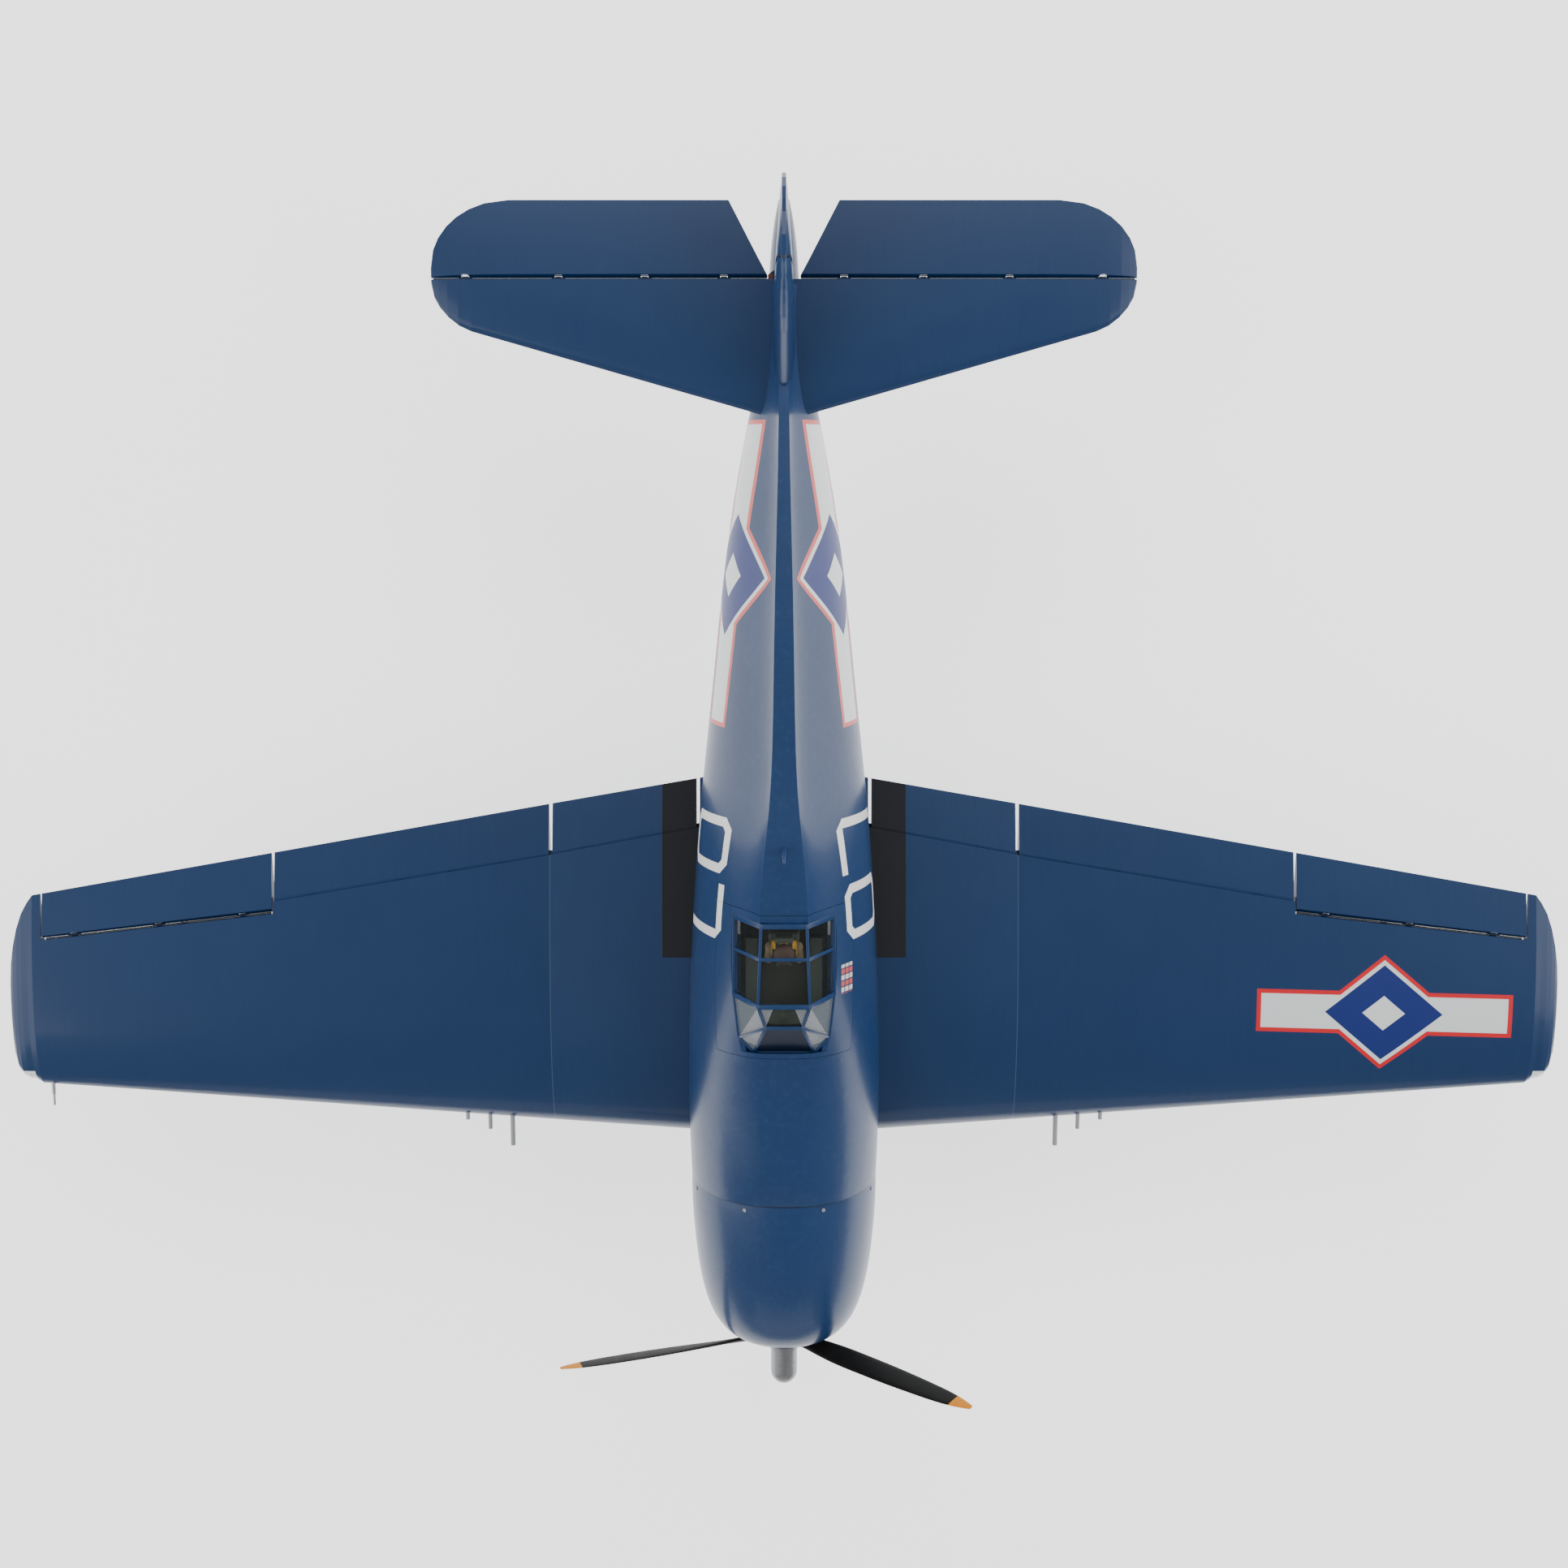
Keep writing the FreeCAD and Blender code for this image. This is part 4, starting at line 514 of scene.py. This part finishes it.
finishes = {
    "blue_film": blue_film("blue_film"),
    "smoked_glass": smoked_glass(),
    "clear_lens": clear_lens(),
    "gun_metal": metal("gun_metal", rgb(128, 130, 132), rgb(182, 184, 186), 0.40, (1, 0.1, 1), shine=0.25),
    "aluminium_tube": metal("aluminium_tube", rgb(150, 152, 154), rgb(206, 208, 210), 0.24, (0.1, 1, 1)),
    "hinge_nylon": painted("hinge_nylon", rgb(16, 30, 54), rgb(34, 52, 84), 0.4, 120.0),
    "push_rod_red": painted("push_rod_red", rgb(116, 40, 30), rgb(158, 70, 52), 0.35, 160.0, 0.3),
    "push_rod_steel": metal("push_rod_steel", rgb(128, 130, 134), rgb(188, 190, 192), 0.26, (1, 0.1, 1)),
    "servo_case": painted("servo_case", rgb(20, 21, 23), rgb(38, 39, 42), 0.48, 140.0),
    "servo_hatch_blue": painted("servo_hatch_blue", NAVY_DEEP, NAVY, 0.34, 60.0, 0.3),
    "servo_arm_nylon": painted("servo_arm_nylon", rgb(198, 196, 188), rgb(222, 220, 212), 0.42, 130.0),
    "blade_black": blade_black(),
    "hub_alloy": metal("hub_alloy", rgb(76, 78, 82), rgb(146, 148, 152), 0.32),
    "dome_silver": metal("dome_silver", rgb(112, 113, 116), rgb(176, 177, 180), 0.30, (1, 8, 1), 120.0),
    "rotor_steel": metal("rotor_steel", rgb(60, 62, 66), rgb(120, 124, 128), 0.30, (1, 0.2, 1)),
    "stator_copper": stator_copper(),
    "plywood": plywood(),
    "engine_grey": engine_grey(),
    "battery_wrap": battery_wrap(),
    "strap_fabric": woven("strap_fabric", rgb(14, 14, 16), rgb(52, 52, 56), 0.0016),
    "controller_wrap": painted("controller_wrap", rgb(28, 30, 36), rgb(52, 56, 66), 0.3, 60.0, 0.4),
    "receiver_case": painted("receiver_case", rgb(34, 36, 40), rgb(54, 56, 62), 0.5, 150.0),
    "cockpit_green": painted("cockpit_green", rgb(34, 42, 34), rgb(56, 66, 52), 0.6, 160.0),
    "pilot_paint": pilot_paint(),
    "bearing_alloy": metal("bearing_alloy", rgb(140, 142, 144), rgb(196, 198, 200), 0.3),
    "leg_alloy": leg_alloy(),
    "wheel_paint": painted("wheel_paint", rgb(176, 178, 182), rgb(206, 208, 210), 0.32, 90.0, 0.4, 0.00005,
                           rgb(110, 110, 112)),
    "tyre_rubber": tyre_rubber(),
    "blue_fairing": blue_gelcoat("blue_fairing"),
}
film_wing = blue_film("blue_film_wing", wing=True)
film_walkway = blue_film("blue_film_walkway", wing=True, walkway=True)
film_marked = blue_film("blue_film_marked", wing=True, wing_mark=True)
gelcoat = blue_gelcoat("blue_gelcoat")
gelcoat_sides = blue_gelcoat("blue_gelcoat_sides", sides=True)
gelcoat_hatch = blue_gelcoat("blue_gelcoat_hatch", sides=True, cockpit=True)
gelcoat_cowl = blue_gelcoat("blue_gelcoat_cowl", cowl=True)

special = {
    "fuselage_shell": gelcoat_sides,
    "engine_cowl": gelcoat_cowl,
    "cockpit_hatch": gelcoat_hatch,
    "antenna_mast": gelcoat,
    "left_inner_wing": film_walkway,
    "right_inner_wing": film_walkway,
    "left_inner_flap": film_walkway,
    "right_inner_flap": film_walkway,
    "left_outer_wing": film_marked,
    "right_outer_wing": film_wing,
}


def slot_of(node):
    """The name of the slot that a node came with."""
    return node.data.materials[0].name.split(".")[0]


slot_names = {name: slot_of(node) for name, node in nodes.items()}
for name, node in nodes.items():
    chosen = special[name] if name in special else finishes[slot_names[name]]
    for place in range(len(node.data.materials)):
        node.data.materials[place] = chosen


# ---------------------------------------------------------------- making pieces
def start_piece():
    bpy.ops.object.select_all(action="DESELECT")


def edit_mode(on):
    bpy.ops.object.mode_set(mode="EDIT" if on else "OBJECT")


def ease_edges(offset):
    """Rounds every edge of the active piece."""
    edit_mode(True)
    bpy.ops.mesh.select_all(action="SELECT")
    bpy.ops.mesh.bevel(offset=offset, segments=2, affect="EDGES")
    edit_mode(False)


def join(parts):
    start_piece()
    for part in parts:
        part.select_set(True)
    bpy.context.view_layer.objects.active = parts[0]
    bpy.ops.object.join()


def settle(name, material, body):
    """Names the active piece, fixes its place in its mesh and hands it to a body."""
    piece = bpy.context.object
    piece.name = name
    piece.data.name = name
    bpy.ops.object.transform_apply(location=True, rotation=True, scale=True)
    bpy.ops.object.shade_smooth_by_angle(angle=math.radians(35.0))
    piece.data.materials.clear()
    piece.data.materials.append(material)
    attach(piece, body)


def strut(start, end, width, thick):
    """A slim bar from start to end, with eased edges."""
    start, end = Vector(start), Vector(end)
    way = end - start
    start_piece()
    turn = way.to_track_quat("X", "Z").to_euler()
    bpy.ops.mesh.primitive_cube_add(size=1.0, location=0.5 * (start + end), rotation=turn,
                                    scale=(way.length + width * 0.5, width, thick))
    bpy.ops.object.transform_apply(location=True, rotation=True, scale=True)
    ease_edges(0.32 * thick)
    return bpy.context.object


def canopy_frames():
    """The painted ribs round the glass."""
    def corner(x, y, z):
        return Vector((x, y, z)) * MM

    thick = 1.7 * MM
    front_low, front_high = corner(29.5, -213.5, 387.5), corner(18, -179, 421)
    quarter_low, roof_front = corner(44.5, -198, 387.5), corner(25, -154, 435.4)
    side_front, roof_back = corner(49.6, -154, 387.5), corner(22, -75.5, 433.4)
    side_back = corner(49.2, -75.5, 387.5)
    hoop_low, hoop_high = side_front.lerp(side_back, 0.59), roof_front.lerp(roof_back, 0.59)
    runs = [(front_low, front_high, 3.4), (front_high, roof_front, 3.4), (roof_front, roof_back, 3.0),
            (side_front, roof_front, 5.0), (hoop_low, hoop_high, 3.6), (side_back, roof_back, 5.0),
            (front_low, quarter_low, 3.4), (quarter_low, side_front, 3.4), (side_front, side_back, 3.4),
            (quarter_low, front_high, 3.0)]
    crossings = [(front_low, 3.4), (front_high, 3.4), (roof_front, 5.0), (hoop_high, 3.6), (roof_back, 5.0)]
    bars = []
    for start, end, width in runs:
        for side in (1, -1):
            flip = Vector((side, 1, 1))
            bars.append(strut(start * flip, end * flip, width * MM, thick))
    for point, width in crossings:
        bars.append(strut(point * Vector((-1, 1, 1)), point, width * MM, thick))
    join(bars)
    settle("canopy_frames", gelcoat, "hatch")


def middle_height(wing, x, y):
    """Half way between a wing's upper and lower skin."""
    above = nodes[wing].ray_cast(Vector((x, y, 0.6)), Vector((0, 0, -1)))[1]
    below = nodes[wing].ray_cast(Vector((x, y, -0.1)), Vector((0, 0, 1)))[1]
    return 0.5 * (above.z + below.z)


def gap_shade_strips():
    """Dark strips set in the narrow gaps ahead of the ailerons and elevators, as painted shade inside the
    gaps.
    """
    wide, thick = 1.18 * MM, 1.2 * MM
    elevator_y, elevator_z = 0.53732, 0.342
    strips = []
    for side, wing in ((1, "left_outer_wing"), (-1, "right_outer_wing")):
        inner, outer = [Vector((side * x, elevator_y, elevator_z)) for x in (0.0165, 0.3355)]
        strips.append(strut(inner, outer, wide, thick))
        ends = []
        for x in (0.5455, 0.7735):
            gap_y = -0.1006 - 0.0934 * (x - 0.5384) - 0.00072
            ends.append(Vector((side * x, gap_y, middle_height(wing, side * x, gap_y - 0.004))))
        strips.append(strut(ends[0], ends[1], wide, thick))
    join(strips)
    settle("gap_shade_strips", finishes["servo_case"], "airframe")


def screw(place, axis, radius):
    """A domed screw head with a round socket, facing along the axis."""
    start_piece()
    turn = Vector(axis).to_track_quat("Z", "Y").to_euler()
    bpy.ops.mesh.primitive_cylinder_add(vertices=20, radius=radius, depth=radius * 0.7,
                                        location=place, rotation=turn)
    edit_mode(True)
    bpy.ops.mesh.select_all(action="DESELECT")
    edit_mode(False)
    head = bpy.context.object
    top = max(head.data.polygons, key=lambda face: face.center.z)
    top.select = True
    inward = head.matrix_world.to_3x3() @ Vector((0, 0, -radius * 0.3))
    edit_mode(True)
    bpy.ops.mesh.inset(thickness=radius * 0.22, depth=radius * 0.16)
    bpy.ops.mesh.inset(thickness=radius * 0.36, depth=0.0)
    bpy.ops.mesh.extrude_region_move(TRANSFORM_OT_translate={"value": inward})
    edit_mode(False)
    return head


def cowl_screws():
    """Eight screws round the cowl's rear edge, seated on its skin."""
    hub = Vector((0, -0.3865, THRUST))
    heads = []
    for step in range(8):
        around = math.radians(22.5 + 45.0 * step)
        out = Vector((math.sin(around), 0, math.cos(around)))
        skin = nodes["engine_cowl"].ray_cast(hub + out * 0.30, -out)[1]
        reach = (skin - hub).dot(out)
        heads.append(screw(hub + out * (reach + 0.0001), out, 0.0019))
    join(heads)
    settle("cowl_screws", finishes["bearing_alloy"], "airframe")


def pilot_goggles():
    """Goggles pushed up on the helmet, and ear cups."""
    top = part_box("pilot_figure")[1].z
    centre = Vector((0, -0.108, top - 0.0102))
    parts = []
    for side in (1, -1):
        start_piece()
        bpy.ops.mesh.primitive_torus_add(
            major_radius=0.0031, minor_radius=0.0010, major_segments=20, minor_segments=8,
            location=centre + Vector((side * 0.0038, -0.0086, 0.0036)),
            rotation=(math.radians(68), 0, math.radians(-20 * side)))
        parts.append(bpy.context.object)
        start_piece()
        bpy.ops.mesh.primitive_cylinder_add(
            vertices=20, radius=0.0042, depth=0.0030,
            location=centre + Vector((side * 0.0101, 0.0006, -0.0012)),
            rotation=(0, math.radians(90), 0))
        ease_edges(0.0008)
        parts.append(bpy.context.object)
    join(parts)
    settle("pilot_goggles", finishes["servo_case"], "hatch")


def pilot_straps():
    """Shoulder straps, from the chest over the shoulders."""
    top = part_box("pilot_figure")[1].z
    straps = []
    for side in (1, -1):
        low = Vector((side * 0.0085, -0.1127, top - 0.038))
        high = Vector((side * 0.0075, -0.1122, top - 0.0232))
        back = Vector((side * 0.0060, -0.0975, top - 0.0215))
        straps.append(strut(low, high, 0.0028, 0.0007))
        straps.append(strut(high, back, 0.0028, 0.0007))
    join(straps)
    settle("pilot_straps", finishes["strap_fabric"], "hatch")


def ignition_ring():
    """Ring and leads in front of the engine's crankcase."""
    hub = Vector((0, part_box("dummy_engine")[0].y + 0.010, THRUST))
    cylinders, lead = 18, 0.0016
    start_piece()
    bpy.ops.mesh.primitive_torus_add(
        major_radius=0.0385, minor_radius=0.0020, major_segments=64, minor_segments=10,
        location=hub, rotation=(math.radians(90), 0, 0))
    parts = [bpy.context.object]
    for step in range(cylinders):
        around = math.tau * (step + 0.5) / cylinders
        out = Vector((math.sin(around), 0, math.cos(around)))
        plug = hub + Vector((0, 0.004, 0)) + out * 0.056
        parts.append(strut(hub + out * 0.038, plug, lead, lead))
    join(parts)
    settle("ignition_ring", finishes["bearing_alloy"], "airframe")


canopy_frames()
gap_shade_strips()
cowl_screws()
pilot_goggles()
pilot_straps()
ignition_ring()


# ---------------------------------------------------------------- floor, light and camera
FLOOR_GLOW = 1.4
WORLD_GLOW = 0.40
AIM = Vector((0, 0, 0.25))
WHITE = (1, 1, 1, 1)


def studio_floor():
    """A wide sheet of pale paper that glows a little."""
    start_piece()
    bpy.ops.mesh.primitive_plane_add(size=120.0, location=(0, 0, 0))
    floor = bpy.context.object
    floor.name = "studio_floor"
    finish = Finish("pale_paper")
    tone = finish.tint(finish.noise(3.0, 3.0), (0.86, 0.86, 0.86, 1.0), (0.90, 0.90, 0.90, 1.0))
    shader = finish.body(tone, 0.9, more={
        "Specular IOR Level": 0.0, "Emission Color": WHITE, "Emission Strength": FLOOR_GLOW})
    floor.data.materials.append(finish.close(shader))


def softbox(name, place, size, power):
    """A rectangular light turned towards the fuselage."""
    lamp = bpy.data.lights.new(name, "AREA")
    lamp.shape = "RECTANGLE"
    lamp.size, lamp.size_y = size
    lamp.energy = power
    holder = bpy.data.objects.new(name, lamp)
    bpy.context.scene.collection.objects.link(holder)
    holder.location = place
    holder.rotation_euler = (AIM - Vector(place)).to_track_quat("-Z", "Y").to_euler()


def studio_world():
    world = bpy.data.worlds.new("studio_world")
    bpy.context.scene.world = world
    world.use_nodes = True
    shade = world.node_tree.nodes["Background"]
    shade.inputs["Color"].default_value = WHITE
    shade.inputs["Strength"].default_value = WORLD_GLOW


def studio_camera():
    """Looks down from above, leaning a little towards the nose."""
    lens = bpy.data.cameras.new("studio_camera")
    lens.lens = 39.13
    lens.sensor_width = 36.0
    lens.sensor_fit = "HORIZONTAL"
    lens.clip_start, lens.clip_end = 0.05, 60.0
    holder = bpy.data.objects.new("studio_camera", lens)
    bpy.context.scene.collection.objects.link(holder)
    back = Vector((0, 0.143, 0.98972)).normalized()
    up = Vector((0, 0.98972, -0.143)).normalized()
    right = up.cross(back)
    turn = Matrix((right, up, back)).transposed().to_4x4()
    holder.matrix_world = Matrix.Translation((0, 0.2923, 2.0248)) @ turn
    bpy.context.scene.camera = holder


studio_floor()
studio_world()
softbox("left_light", (-3.2, -0.4, 2.4), (3.0, 5.0), 95)
softbox("right_light", (3.2, 0.6, 2.0), (3.0, 5.0), 110)
softbox("top_light", (0.0, 2.8, 3.4), (3.4, 1.6), 70)
softbox("front_light", (0.0, -3.2, 1.6), (3.4, 1.2), 8)
studio_camera()
